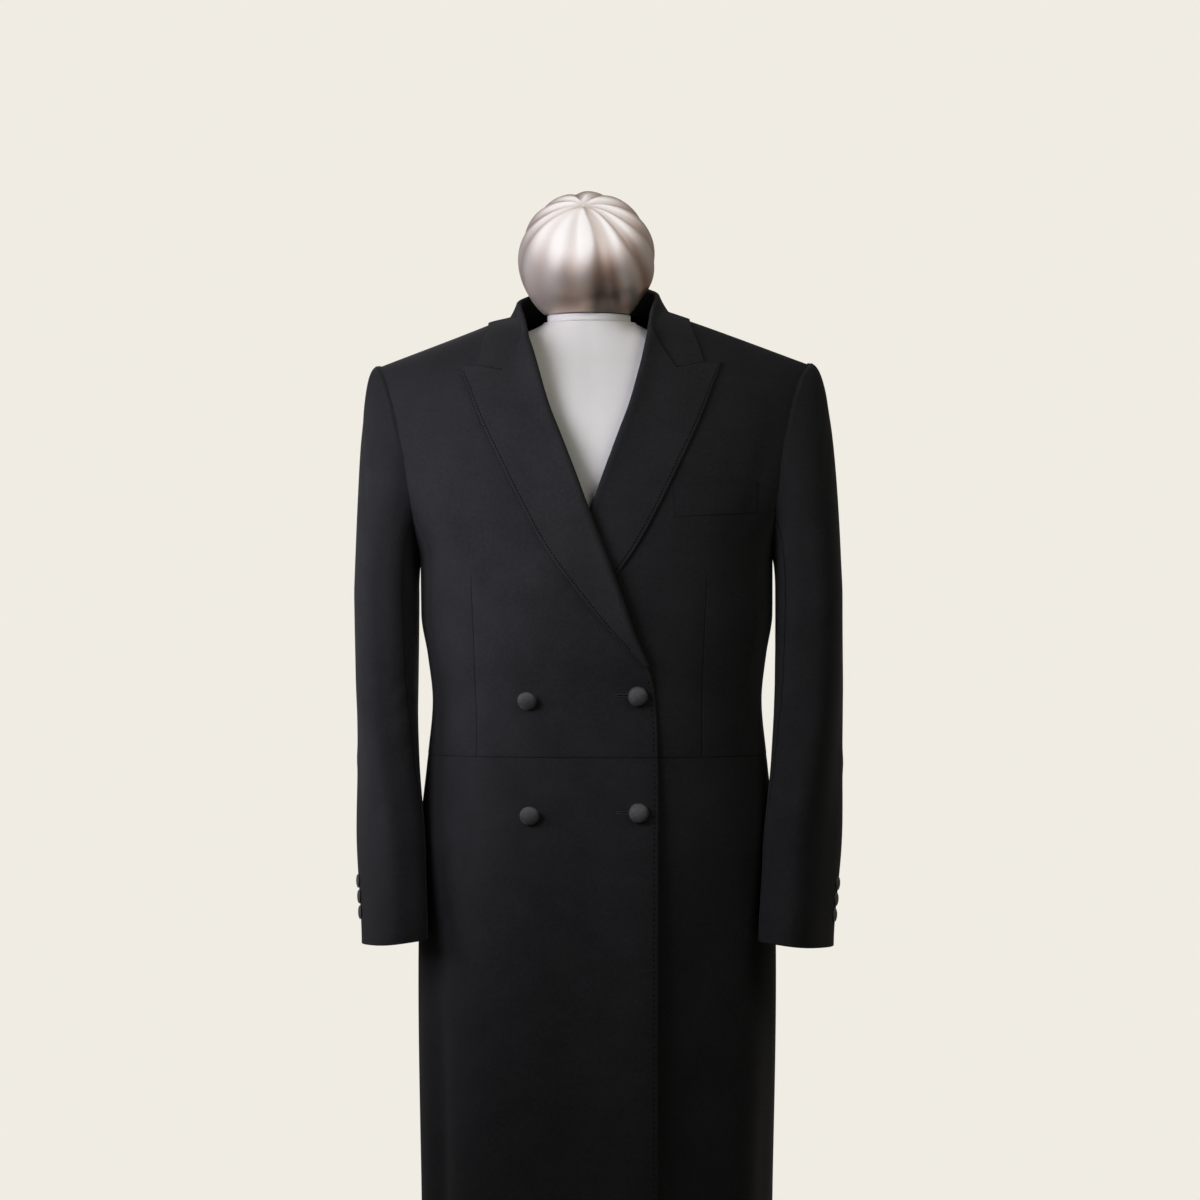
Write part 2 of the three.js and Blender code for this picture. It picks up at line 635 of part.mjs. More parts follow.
function sleeveSection(turn, z, side) {
  const at = (key) => column(SLEEVE, key)(z);
  const toe = degrees(at('toe'));
  const across = at('half') * side.girth * signedPower(Math.sin(degrees(turn)), 2 / SLEEVE_POWER);
  const along = -at('depth') * signedPower(Math.cos(degrees(turn)), 2 / SLEEVE_POWER);
  const x = at('x') + side.out + across * Math.cos(toe) + along * Math.sin(toe);
  const y = at('y') - across * Math.sin(toe) + along * Math.cos(toe);
  return new THREE.Vector3(x, y, z);
}

// the sleeve's outside: length runs from 0 at the armhole to 1 at the tube's start and 2 at the cuff
function sleeveAt(turn, length, side) {
  if (length > 1) {
    const cuffX = sleeveSection(turn, CUFF_Z, side).x - SLEEVE[0].x;
    const z = mix(SLEEVE_TUBE_Z, CUFF_Z - CUFF_SLOPE * cuffX, length - 1);
    return sleeveSection(turn, z, side);
  }
  const up = Math.max(0, Math.sin(degrees(turn)));
  const down = Math.max(0, -Math.sin(degrees(turn)));
  const leave = new THREE.Vector3(16 - 14 * down, -6 * Math.cos(degrees(turn)), -14 + 19 * up + 8 * down);
  const start = armholePoint(turn).addScaledVector(leave.clone().normalize(), ARMHOLE_GAP);
  const end = sleeveSection(turn, SLEEVE_TUBE_Z, side);
  const fall = (start.z - end.z) * (0.42 + 0.49 * up * up);
  const arrive = end.clone().add(new THREE.Vector3(-8 * up, 0, fall));
  return new THREE.CubicBezierCurve3(start, start.clone().add(leave), arrive, end).getPoint(length);
}

function sleevePair(turn, length, side) {
  const step = 0.01;
  const low = Math.max(0, length - step);
  const along = sleeveAt(turn, Math.min(2, low + 2 * step), side).sub(sleeveAt(turn, low, side));
  const around = sleeveAt(turn + 1, length, side).sub(sleeveAt(turn - 1, length, side));
  const inward = around.cross(along).normalize();
  const point = sleeveAt(turn, length, side);
  return [point, point.clone().addScaledVector(inward, WALL)];
}

function sleevePiece(name, from, to, side) {
  const lengths = [0, 0.1, 0.22, 0.36, 0.52, 0.7, 0.86, 1, 1.16, 1.34, 1.52, 1.7, 1.86, 2];
  const gap = 0.2;
  const pairs = lengths.map((length) => range(8).map((u) => sleevePair(mix(from + gap, to - gap, u), length, side)));
  return clothPiece(`${name}_${side.name}`, pairs.reverse(), side, WOOL);
}

// ---------------------------------------------------------------- buttons
function button(name, radius, place, normal, crown = 1) {
  const profile = BUTTON_PROFILE.map(({ r, h }) => new THREE.Vector2(r * radius, h * crown * radius));
  const geometry = new THREE.LatheGeometry(profile, 20);
  const mesh = new THREE.Mesh(geometry, new THREE.MeshStandardMaterial(BUTTON_CLOTH));
  mesh.name = name;
  mesh.quaternion.setFromUnitVectors(new THREE.Vector3(0, 1, 0), normal);
  mesh.position.copy(place).addScaledVector(normal, 2 * SEAM);
  return mesh;
}

function frontButtons() {
  return FRONT_BUTTONS.map(({ name, x, z }) => {
    const local = -x;
    const place = worn(frontPoint(local, z, RIGHT), RIGHT);
    const normal = bodyNormal(turnAt(local, z, 'front'), z);
    normal.x *= -1;
    return button(name, FRONT_BUTTON_RADIUS, place, normal);
  });
}

function cuffButtons(side) {
  return CUFF_BUTTONS.map(({ place, z }) => {
    const length = 1 + (SLEEVE_TUBE_Z - z) / (SLEEVE_TUBE_Z - CUFF_Z);
    const [outside, inside] = sleevePair(CUFF_BUTTON_TURN, length, side);
    const point = worn(outside, side);
    const normal = point.clone().sub(worn(inside, side)).normalize();
    const name = `button_cuff_${side.name}_${place}`;
    return button(name, CUFF_BUTTON_RADIUS, point, normal, CUFF_BUTTON_CROWN);
  });
}

// ---------------------------------------------------------------- the dress form
function formTorso() {
  const sectionPower = 2 / 2.3;
  const around = 28;
  const shoulder = column(STANCE, 'shift');
  const rows = FORM.map(({ z, half, front, back: rear }) => Array.from({ length: around }, (_, i) => {
    const angle = (i / around) * 2 * Math.PI;
    const depth = Math.sin(angle) < 0 ? front : rear;
    const x = half * signedPower(Math.cos(angle), sectionPower) + shoulder(z);
    return [x, depth * signedPower(Math.sin(angle), sectionPower), z];
  }));
  const positions = rows.flat(2);
  const triangles = [];
  const at = (r, i) => r * around + (i % around);
  for (let r = 0; r + 1 < rows.length; r += 1) {
    for (let i = 0; i < around; i += 1) {
      triangles.push(at(r, i), at(r, i + 1), at(r + 1, i + 1));
      triangles.push(at(r, i), at(r + 1, i + 1), at(r + 1, i));
    }
  }
  const bottom = positions.length / 3;
  const top = bottom + 1;
  positions.push(shoulder(FORM[0].z), 0, FORM[0].z, shoulder(FORM[FORM.length - 1].z), 0, FORM[FORM.length - 1].z);
  for (let i = 0; i < around; i += 1) {
    triangles.push(bottom, at(0, i + 1), at(0, i));
    triangles.push(top, at(rows.length - 1, i), at(rows.length - 1, i + 1));
  }
  return solid('form_torso', positions, triangles, JERSEY);
}

// a turned piece standing on the z axis, from (radius, height) pairs that start and end on the axis
function turned(name, profile, segments, look) {
  const points = profile.map(([radius, height]) => new THREE.Vector2(radius, height));
  const geometry = new THREE.LatheGeometry(points, segments);
  const mesh = new THREE.Mesh(geometry, new THREE.MeshStandardMaterial(look));
  mesh.name = name;
  mesh.rotation.x = Math.PI / 2;
  return mesh;
}

function formCap() {
  const lowest = -Math.acos(NECK_RADIUS / CAP_RADIUS);
  const arc = range(14).map((t) => {
    const angle = mix(lowest, Math.PI / 2, t);
    return [t === 1 ? 0 : CAP_RADIUS * Math.cos(angle), CAP_RADIUS * Math.sin(angle)];
  });
  const mesh = turned('form_cap', [[0, CAP_RADIUS * Math.sin(lowest)], ...arc], 36, SATIN);
  mesh.position.set(stanceShift(CAP_CENTRE.z), CAP_CENTRE.y, CAP_CENTRE.z);
  return mesh;
}

function formNeck() {
  const bottom = FORM[FORM.length - 1].z + SEAM;
  const top = CAP_CENTRE.z - Math.sqrt(CAP_RADIUS ** 2 - NECK_RADIUS ** 2) - SEAM;
  const radius = NECK_RADIUS - 1;
  const mesh = turned('form_neck', [[0, bottom], [radius, bottom], [radius, top], [0, top]], 32, JERSEY);
  mesh.position.set(stanceShift(top), -3, 0);
  return mesh;
}

function stand() {
  const foot = [[0, 0], [BASE_RADIUS - 2, 0], [BASE_RADIUS, 2], [BASE_RADIUS, 6], [BASE_RADIUS - 3, 9]];
  const rise = [[BASE_RADIUS - 10, 10.5], [60, 12.5], [30, BASE_HEIGHT], [0, BASE_HEIGHT]];
  const poleBottom = BASE_HEIGHT + SEAM;
  const poleTop = FORM[0].z - SEAM;
  const pole = [[0, poleBottom], [POLE_RADIUS, poleBottom], [POLE_RADIUS, poleTop], [0, poleTop]];
  return [
    turned('stand_base', [...foot, ...rise], 48, STEEL),
    turned('stand_pole', pole, 32, STEEL),
  ];
}

// ---------------------------------------------------------------- the whole part
const kapote = new THREE.Group();
kapote.name = 'kapote_on_dress_form';
for (const side of [RIGHT, LEFT]) {
  kapote.add(forepart(side), lapel(side), sideBody(side), back(side), skirt(side));
  kapote.add(sleevePiece('top_sleeve', FRONT_SEAM_TURN, BACK_SEAM_TURN, side));
  kapote.add(sleevePiece('under_sleeve', BACK_SEAM_TURN, 360 + FRONT_SEAM_TURN, side));
  kapote.add(...cuffButtons(side));
}
kapote.add(collar(), breastWelt(), ...frontButtons());
kapote.add(formTorso(), formNeck(), formCap(), ...stand());

export default kapote;
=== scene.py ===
"""A kapote, a long double-breasted frock coat, buttoned, on a limbless dress form with a pole stand.

Shapes are worked out in millimetres, as a tailor writes them, and every mesh is made in metres.
The front faces -Y, the wearer's right is -X, and the floor is z = 0 under the pole.
"""
import logging
import math
from collections.abc import Callable, Sequence
from dataclasses import dataclass, field
from enum import Enum
from functools import partial

import bpy
import numpy as np
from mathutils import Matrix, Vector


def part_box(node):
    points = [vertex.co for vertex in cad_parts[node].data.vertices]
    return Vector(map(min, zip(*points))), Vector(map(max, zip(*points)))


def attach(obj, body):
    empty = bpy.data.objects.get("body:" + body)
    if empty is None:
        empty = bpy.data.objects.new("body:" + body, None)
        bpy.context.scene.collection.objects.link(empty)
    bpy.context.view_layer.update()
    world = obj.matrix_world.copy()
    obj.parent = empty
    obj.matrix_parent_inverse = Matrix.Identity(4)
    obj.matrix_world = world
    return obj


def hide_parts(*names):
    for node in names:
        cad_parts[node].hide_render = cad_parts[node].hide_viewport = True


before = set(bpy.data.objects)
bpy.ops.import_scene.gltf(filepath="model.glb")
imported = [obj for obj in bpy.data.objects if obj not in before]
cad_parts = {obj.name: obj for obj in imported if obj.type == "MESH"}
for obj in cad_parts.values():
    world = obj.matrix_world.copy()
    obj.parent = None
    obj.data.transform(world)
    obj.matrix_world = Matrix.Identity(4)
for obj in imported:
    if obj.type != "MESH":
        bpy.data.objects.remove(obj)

Array = np.ndarray
Surface = Callable[[Array, Array], Array]
Triple = tuple[float, float, float]
Socket = bpy.types.NodeSocket

log = logging.getLogger("kapote")
MM = 0.001
CLOTH = 1.7  # thickness of the coat's wool, mm
UP = np.array([0.0, 0.0, 1.0])


# ------------------------------------------------------------------ small maths
class Curve:
    """A smooth curve through given values, which never overshoots them: a monotone cubic."""

    def __init__(self, at: Sequence[float], value: Sequence[float]) -> None:
        """Works out the slopes at the given places.

        Args:
            at: places in rising order.
            value: the curve's value at each place.
        """
        self.at = np.asarray(at, float)
        self.value = np.asarray(value, float)
        self.step = np.diff(self.at)
        rise = np.diff(self.value) / self.step
        self.slope = np.zeros_like(self.value)
        same_way = rise[:-1] * rise[1:] > 0
        before = 2 * self.step[1:] + self.step[:-1]
        after = self.step[1:] + 2 * self.step[:-1]
        safe_low = np.where(same_way, rise[:-1], 1.0)
        safe_high = np.where(same_way, rise[1:], 1.0)
        harmonic = (before + after) / (before / safe_low + after / safe_high)
        self.slope[1:-1] = np.where(same_way, harmonic, 0.0)

    def __call__(self, place: Array | float) -> Array:
        """The curve's value at each place, held level past both ends.

        Args:
            place: where to read it.

        Returns:
            Its value there.
        """
        p = np.clip(place, self.at[0], self.at[-1])
        i = np.clip(np.searchsorted(self.at, p, side="right") - 1, 0, len(self.step) - 1)
        t = (p - self.at[i]) / self.step[i]
        start = (1 + 2 * t) * (1 - t) ** 2 * self.value[i] + t * (1 - t) ** 2 * self.step[i] * self.slope[i]
        end = t * t * (3 - 2 * t) * self.value[i + 1] + t * t * (t - 1) * self.step[i] * self.slope[i + 1]
        return start + end


@dataclass(frozen=True)
class Table:
    """Rows of numbers under named columns, read as smooth curves over the first column."""

    names: str
    rows: tuple[tuple[float, ...], ...]

    def column(self, name: str) -> Array:
        """The numbers of one column."""
        return np.array([row[self.names.split().index(name)] for row in self.rows])

    def curve(self, name: str) -> Curve:
        """One column as a curve over the first one."""
        return Curve(self.column(self.names.split()[0]), self.column(name))

    def line(self, name: str, place: Array) -> Array:
        """One column read as straight runs over the first one."""
        return np.interp(place, self.column(self.names.split()[0]), self.column(name))


def mix(a: Array | float, b: Array | float, t: Array | float) -> Array:
    """Straight mix from a at t = 0 to b at t = 1."""
    return a + (b - a) * t


def smooth(t: Array | float) -> Array:
    """Eased step from 0 to 1: 3t^2 - 2t^3, held past both ends."""
    t = np.clip(t, 0.0, 1.0)
    return t * t * (3 - 2 * t)


def bell(distance: Array, width: float) -> Array:
    """A soft bump: exp(-(distance / width)^2)."""
    return np.exp(-((distance / width) ** 2))


def signed_power(value: Array, power: float) -> Array:
    """|value| to the power, with the sign of value."""
    return np.sign(value) * np.abs(value) ** power


def settle(start: Array, update: Callable[[Array], Array], rounds: int = 40) -> Array:
    """The value at which a shrinking update comes to rest.

    Args:
        start: first guess.
        update: gives a closer value from a value.
        rounds: steps to take.

    Returns:
        The value at rest.
    """
    value = start
    for _ in range(rounds):
        value = mix(value, update(value), 0.7)
    return value


def unit(vectors: Array) -> Array:
    """Vectors scaled to length 1."""
    size = np.linalg.norm(vectors, axis=-1, keepdims=True)
    return vectors / np.maximum(size, 1e-12)


def lengths(points: Array, axis: int) -> Array:
    """Arc length from the start along one axis of a grid of points."""
    runs = np.linalg.norm(np.diff(points, axis=axis), axis=-1)
    return np.insert(np.cumsum(runs, axis=axis), 0, 0.0, axis=axis)


def grid_normals(points: Array) -> Array:
    """Normals of a grid of points: columns' direction crossed with rows' direction."""
    return unit(np.cross(np.gradient(points, axis=1), np.gradient(points, axis=0)))


# ------------------------------------------------------------------ finishes
@dataclass(frozen=True)
class Wool:
    """Fine matt wool: twill ribs, loose fibres and a slow change of shade, on the piece's own grain, and
    painted shade, darker towards black, along seams and edges.
    """

    name: str
    colour: Triple
    roughness: float = 0.8
    sheen: float = 0.05
    rib: float = 0.0017
    relief: float = 0.5
    specular: float = 0.03

    def material(self) -> bpy.types.Material:
        """Builds the cloth's shader on the piece's grain map.

        Returns:
            The new material.
        """
        shader = Shader(self.name)
        grain, place = shader.uv("grain"), shader.object_place()
        rate = 2 * math.pi / self.rib
        cut = shader.node("ShaderNodeSeparateXYZ", Vector=grain)
        diagonal = shader.sine(shader.sum(cut.outputs["X"], cut.outputs["Y"]), rate)
        weft = shader.sine(cut.outputs["Y"], 2 * rate)
        threads = shader.sum(diagonal, shader.product(weft, 0.35))
        fibre = shader.noise(shader.stretched(grain, (1.0, 0.28, 1.0)), 900.0, 3.0)
        slub, cloud = shader.noise(place, 260.0, 2.0), shader.noise(place, 24.0, 4.0)
        height = shader.sum(shader.product(threads, 0.4), shader.product(fibre, 1.1))
        bump = shader.node("ShaderNodeBump", Height=height, Strength=self.relief, Distance=0.00025)
        shade = shader.sum(shader.product(fibre, 0.5), shader.product(slub, 0.35))
        shade = shader.sum(shade, shader.product(cloud, 0.45))
        shade = shader.sum(shade, shader.product(threads, 0.06))
        low, high = (tuple(share * part for part in self.colour) for share in (0.62, 1.38))
        ramp = shader.ramp(shade, ((0.3, low), (1.0, high)))
        # painted shade: the fold attribute mixes the cloth towards black along seams, darts and edges, in
        # place of the shade that falls there
        seam = shader.node("ShaderNodeAttribute", attribute_name="fold").outputs["Fac"]
        seam_shade = shader.node("ShaderNodeMix", data_type="RGBA")
        shader.link(seam, seam_shade.inputs["Factor"])
        shader.link(ramp, seam_shade.inputs[6])
        seam_shade.inputs[7].default_value = (0.0, 0.0, 0.0, 1.0)
        gloss = {
            "Roughness": self.roughness,
            "Sheen Weight": self.sheen,
            "Sheen Roughness": 0.45,
            "Specular IOR Level": self.specular,
        }
        shader.principled(seam_shade.outputs[2], gloss, bump.outputs[0])
        return shader.material


@dataclass(frozen=True)
class Satin:
    """Silvery satin: a bright thread sheen across the gathers, with painted shade and painted dark
    reflection: a warm, darker tint in the hollows and low down, deepening to near black.
    """

    name: str
    colour: Triple
    # hollow and shade are painted shade and painted dark reflection, not colours of the satin
    hollow: Triple
    shade: Triple

    def material(self) -> bpy.types.Material:
        """Builds the satin's shader; the attribute named fold says how much painted shade and painted dark
        reflection a point gets: more deep in a fold and low on the ball.

        Returns:
            The new material.
        """
        shader = Shader(self.name)
        grain = shader.uv("grain")
        depth = shader.node("ShaderNodeAttribute", attribute_name="fold").outputs["Fac"]
        cut = shader.node("ShaderNodeSeparateXYZ", Vector=grain)
        thread = shader.sine(cut.outputs["X"], 2 * math.pi / 0.0005)
        streak = shader.noise(shader.stretched(grain, (1.0, 0.12, 1.0)), 900.0, 2.0)
        height = shader.sum(shader.product(thread, 0.15), streak)
        bump = shader.node("ShaderNodeBump", Height=height, Strength=0.12, Distance=0.0002)
        # painted shade and painted reflection: the fold map turns the satin warm and then dark
        ramp = shader.ramp(depth, ((0.0, self.colour), (0.55, self.hollow), (1.0, self.shade)))
        gloss = {"Roughness": 0.31, "Metallic": 0.7, "Anisotropic": 0.3}
        shader.principled(ramp, gloss, bump.outputs[0])
        return shader.material


@dataclass(frozen=True)
class Jersey:
    """Close knitted jersey: fine columns of stitches, matt and pale."""

    name: str
    colour: Triple

    def material(self) -> bpy.types.Material:
        """Builds the knit's shader on the piece's grain map.

        Returns:
            The new material.
        """
        shader = Shader(self.name)
        cut = shader.node("ShaderNodeSeparateXYZ", Vector=shader.uv("grain"))
        wales = shader.sine(cut.outputs["X"], 2 * math.pi / 0.0009)
        courses = shader.sine(cut.outputs["Y"], 2 * math.pi / 0.0007)
        knit = shader.sum(wales, shader.product(courses, 0.6))
        fuzz = shader.noise(shader.object_place(), 900.0, 3.0)
        cloud = shader.noise(shader.object_place(), 11.0, 2.0)
        height = shader.sum(shader.product(knit, 0.5), fuzz)
        bump = shader.node("ShaderNodeBump", Height=height, Strength=0.3, Distance=0.0002)
        shade = shader.sum(shader.product(fuzz, 0.4), shader.product(cloud, 0.5))
        low = tuple(0.9 * part for part in self.colour)
        ramp = shader.ramp(shade, ((0.25, low), (0.75, self.colour)))
        shader.principled(ramp, {"Roughness": 0.88, "Sheen Weight": 0.2}, bump.outputs[0])
        return shader.material


@dataclass(frozen=True)
class Steel:
    """Brushed steel: fine scratches round the piece, with a slow change of gloss."""

    name: str
    colour: Triple
    roughness: float

    def material(self) -> bpy.types.Material:
        """Builds the metal's shader on object coordinates.

        Returns:
            The new material.
        """
        shader = Shader(self.name)
        squeezed = shader.node("ShaderNodeMapping", Vector=shader.object_place(), Scale=(1.0, 1.0, 40.0))
        scratch = shader.noise(squeezed.outputs[0], 60.0, 4.0)
        bump = shader.node("ShaderNodeBump", Height=scratch, Strength=0.08, Distance=0.0002)
        low = tuple(0.85 * part for part in self.colour)
        ramp = shader.ramp(scratch, ((0.3, low), (0.7, self.colour)))
        gloss = {"Metallic": 1.0, "Roughness": self.roughness, "Anisotropic": 0.4}
        shader.principled(ramp, gloss, bump.outputs[0])
        return shader.material


class NodeTree:
    """The node tree of a material or the world, with short ways to add and join its nodes."""

    def __init__(self, owner: bpy.types.Material | bpy.types.World) -> None:
        """Starts with the owner's tree empty.

        Args:
            owner: what the tree belongs to.
        """
        owner.use_nodes = True
        self.tree = owner.node_tree
        self.tree.nodes.clear()

    def link(self, source: Socket, target: Socket) -> None:
        """Joins two sockets."""
        self.tree.links.new(source, target)

    def node(self, kind: str, **settings: object) -> bpy.types.Node:
        """Adds a node.

        Args:
            kind: the node's type.
            settings: its properties and, by input name, its sockets' values or sources.

        Returns:
            The new node.
        """
        node = self.tree.nodes.new(kind)
        for key, value in settings.items():
            if isinstance(value, Socket):
                self.link(value, node.inputs[key])
            elif key in node.inputs:
                node.inputs[key].default_value = value
            else:
                setattr(node, key, value)
        return node

    def ramp(self, value: Socket, stops: Sequence[tuple]) -> Socket:
        """A colour ramp.

        Args:
            value: what the ramp reads.
            stops: places in rising order, each with its colour.

        Returns:
            The colour.
        """
        node = self.node("ShaderNodeValToRGB", Fac=value)
        for place, _ in stops[2:]:
            node.color_ramp.elements.new(place)
        for element, (place, colour) in zip(node.color_ramp.elements, stops):
            element.position = place
            element.color = (*colour, 1.0)
        return node.outputs[0]


class Shader(NodeTree):
    """A new material's node tree, with the steps that the finishes share."""

    def __init__(self, name: str) -> None:
        """Starts an empty material of that name."""
        self.material = bpy.data.materials.new(name)
        super().__init__(self.material)

    def uv(self, name: str) -> Socket:
        """The piece's own map of that name, in metres."""
        return self.node("ShaderNodeUVMap", uv_map=name).outputs["UV"]

    def object_place(self) -> Socket:
        """Object coordinates."""
        return self.node("ShaderNodeTexCoord").outputs["Object"]

    def math(self, operation: str, a: object, b: object = 0.0) -> Socket:
        """One arithmetic step.

        Args:
            operation: the step.
            a: first socket or number.
            b: second socket or number.

        Returns:
            The result.
        """
        node = self.node("ShaderNodeMath", operation=operation)
        for socket, value in zip(node.inputs, (a, b)):
            if isinstance(value, Socket):
                self.link(value, socket)
            else:
                socket.default_value = value
        return node.outputs[0]

    def sum(self, a: object, b: object) -> Socket:
        """a + b."""
        return self.math("ADD", a, b)

    def product(self, a: object, b: object) -> Socket:
        """a times b."""
        return self.math("MULTIPLY", a, b)

    def sine(self, value: object, rate: float) -> Socket:
        """sin(rate times value)."""
        return self.math("SINE", self.product(value, rate))

    def stretched(self, place: Socket, by: tuple[float, ...]) -> Socket:
        """A place times a number on each axis.

        Args:
            place: the place.
            by: the three numbers.

        Returns:
            The new place.
        """
        node = self.node("ShaderNodeVectorMath", operation="MULTIPLY")
        self.link(place, node.inputs[0])
        node.inputs[1].default_value = by
        return node.outputs[0]

    def noise(self, place: Socket, scale: float, detail: float) -> Socket:
        """Noise from 0 to 1 at the given scale, in cells per metre."""
        return self.node("ShaderNodeTexNoise", Vector=place, Scale=scale, Detail=detail).outputs[0]

    def principled(
        self, colour: Socket, values: dict[str, float], normal: Socket
    ) -> None:
        """Ends the tree in a Principled shader.

        Args:
            colour: its base colour.
            values: numbers set on its own sockets.
            normal: its normal.
        """
        shader = self.node("ShaderNodeBsdfPrincipled", Normal=normal, **{"Base Color": colour, **values})
        self.node("ShaderNodeOutputMaterial", Surface=shader.outputs[0])


class Finish(Enum):
    """The finishes of the coat and its form, each made once."""

    WOOL = Wool("black_wool", (0.0172, 0.0174, 0.0186))
    FACING = Wool("black_facing", (0.0186, 0.0188, 0.0200), roughness=0.74)
    BUTTON = Wool("button_wool", (0.034, 0.035, 0.037), roughness=0.42, rib=0.0009, specular=0.5)
    # near-black, darker than the cloth: each stitch is partly thread and partly painted shade of the dimple
    # it pulls in; the buttonhole slits use it as painted shade
    THREAD = Wool("stitch_thread_and_shade", (0.004, 0.004, 0.0045), roughness=0.6, rib=0.0004)
    SILK = Wool("buttonhole_silk", (0.030, 0.031, 0.034), roughness=0.45, rib=0.0004, specular=0.3)
    # the satin's second and third colours are painted shade and painted dark reflection, laid on by the
    # fold map
    SATIN = Satin("cap_satin", (0.88, 0.85, 0.83), (0.46, 0.34, 0.28), (0.12, 0.088, 0.074))
    JERSEY = Jersey("form_jersey", (0.72, 0.70, 0.68))
    STEEL = Steel("brushed_steel", (0.60, 0.60, 0.61), 0.34)

    def material(self) -> bpy.types.Material:
        """The finish's material, made on first use."""
        return bpy.data.materials.get(self.value.name) or self.value.material()


# ------------------------------------------------------------------ meshes
@dataclass
class MeshData:
    """Vertices in millimetres, quads, a grain map in metres and an optional fold map, which carries painted
    shade.

    A quad that gives its last corner twice is a triangle.
    """

    points: Array
    faces: Array
    grain: Array | None = None
    fold: Array | None = None

    def piece(self, name: str, finish: Finish, nodes: Sequence[str] = ()) -> bpy.types.Object:
        """Makes the Blender object and hands it to the frame.

        Args:
            name: the piece's name.
            finish: what it is made of.
            nodes: the frame's nodes that it stands for.

        Returns:
            The new object, riding on the frame's one body.
        """
        mesh = bpy.data.meshes.new(name)
        mesh.vertices.add(len(self.points))
        mesh.vertices.foreach_set("co", (self.points * MM).astype(np.float32).ravel())
        used = np.ones(self.faces.shape, bool)
        used[:, 3] = self.faces[:, 3] != self.faces[:, 2]
        count = used.sum(axis=1)
        mesh.loops.add(int(count.sum()))
        mesh.loops.foreach_set("vertex_index", self.faces[used].astype(np.int32))
        mesh.polygons.add(len(count))
        mesh.polygons.foreach_set("loop_start", (np.cumsum(count) - count).astype(np.int32))
        mesh.polygons.foreach_set("use_smooth", np.ones(len(count), bool))
        mesh.update(calc_edges=True)
        mesh.validate()
        corners = np.zeros(len(mesh.loops), int)
        mesh.loops.foreach_get("vertex_index", corners)
        if self.grain is not None:
            layer = mesh.uv_layers.new(name="grain")
            layer.data.foreach_set("uv", self.grain[corners].astype(np.float32).ravel())
        # the fold map is painted shade, read by the wool and satin shaders
        if self.fold is not None:
            attribute = mesh.attributes.new("fold", "FLOAT", "POINT")
            attribute.data.foreach_set("value", self.fold.astype(np.float32))
        mesh.materials.append(finish.material())
        mesh.update()
        piece = bpy.data.objects.new(name, mesh)
        bpy.context.scene.collection.objects.link(piece)
        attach(piece, "root")
        if nodes:
            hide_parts(*nodes)
        log.info("%s: %d faces", name, len(mesh.polygons))
        return piece


def grid_faces(index: Array, flip: bool) -> Array:
    """Quads of a grid of vertex numbers, turned over where flip is true."""
    corners = (index[:-1, :-1], index[:-1, 1:], index[1:, 1:], index[1:, :-1])
    return np.stack(corners[::-1] if flip else corners, axis=-1).reshape(-1, 4)


def joined(parts: Sequence[MeshData]) -> MeshData:
    """Several meshes as one.

    Args:
        parts: meshes that all have a grain map.

    Returns:
        One mesh.
    """
    starts = np.cumsum([0] + [len(part.points) for part in parts[:-1]])
    return MeshData(
        np.concatenate([part.points for part in parts]),
        np.concatenate([part.faces + start for part, start in zip(parts, starts)]),
        np.concatenate([part.grain for part in parts]),
    )


EDGE_STEPS = np.array([0.0, 0.1, 0.28, 0.55, 0.95, 1.6])  # mm from a border, for its round edge
LINE_STEPS = np.array([-2.2, -1.2, -0.6, -0.25, 0.0, 0.25, 0.6, 1.2, 2.2])  # mm across a sewn line
ROUGH_ACROSS, ROUGH_ALONG = 13, 25  # points of the rough grid that measures a surface
SEAM_SHADE_WIDTH, LINE_SHADE_WIDTH = 0.75, 0.6  # half widths of the painted shade line along a seam and along a dart, mm
LINE_FADE = 0.03  # share of v over which a dart's painted shade line fades out
UNSEEN = 3.0  # a border this far off, mm, gets no painted shade line
HEM_EXTRA = 0.9  # what a turned-up hem adds on the inside, mm


def spaced(count: int, length: Array) -> Array:
    """Places from 0 to 1, closer together at both ends so that a border can be rounded.

    Args:
        count: even steps in between.
        length: the real length that each row of places covers, mm.

    Returns:
        One row of places for each length.
    """
    steps = EDGE_STEPS / length[:, None]
    first, last = steps[:, -1:], 1 - steps[:, -1:]
    inside = mix(first, last, np.linspace(0, 1, count + 1)[1:-1])
    return np.concatenate([steps, inside, 1 - steps[:, ::-1]], axis=1)


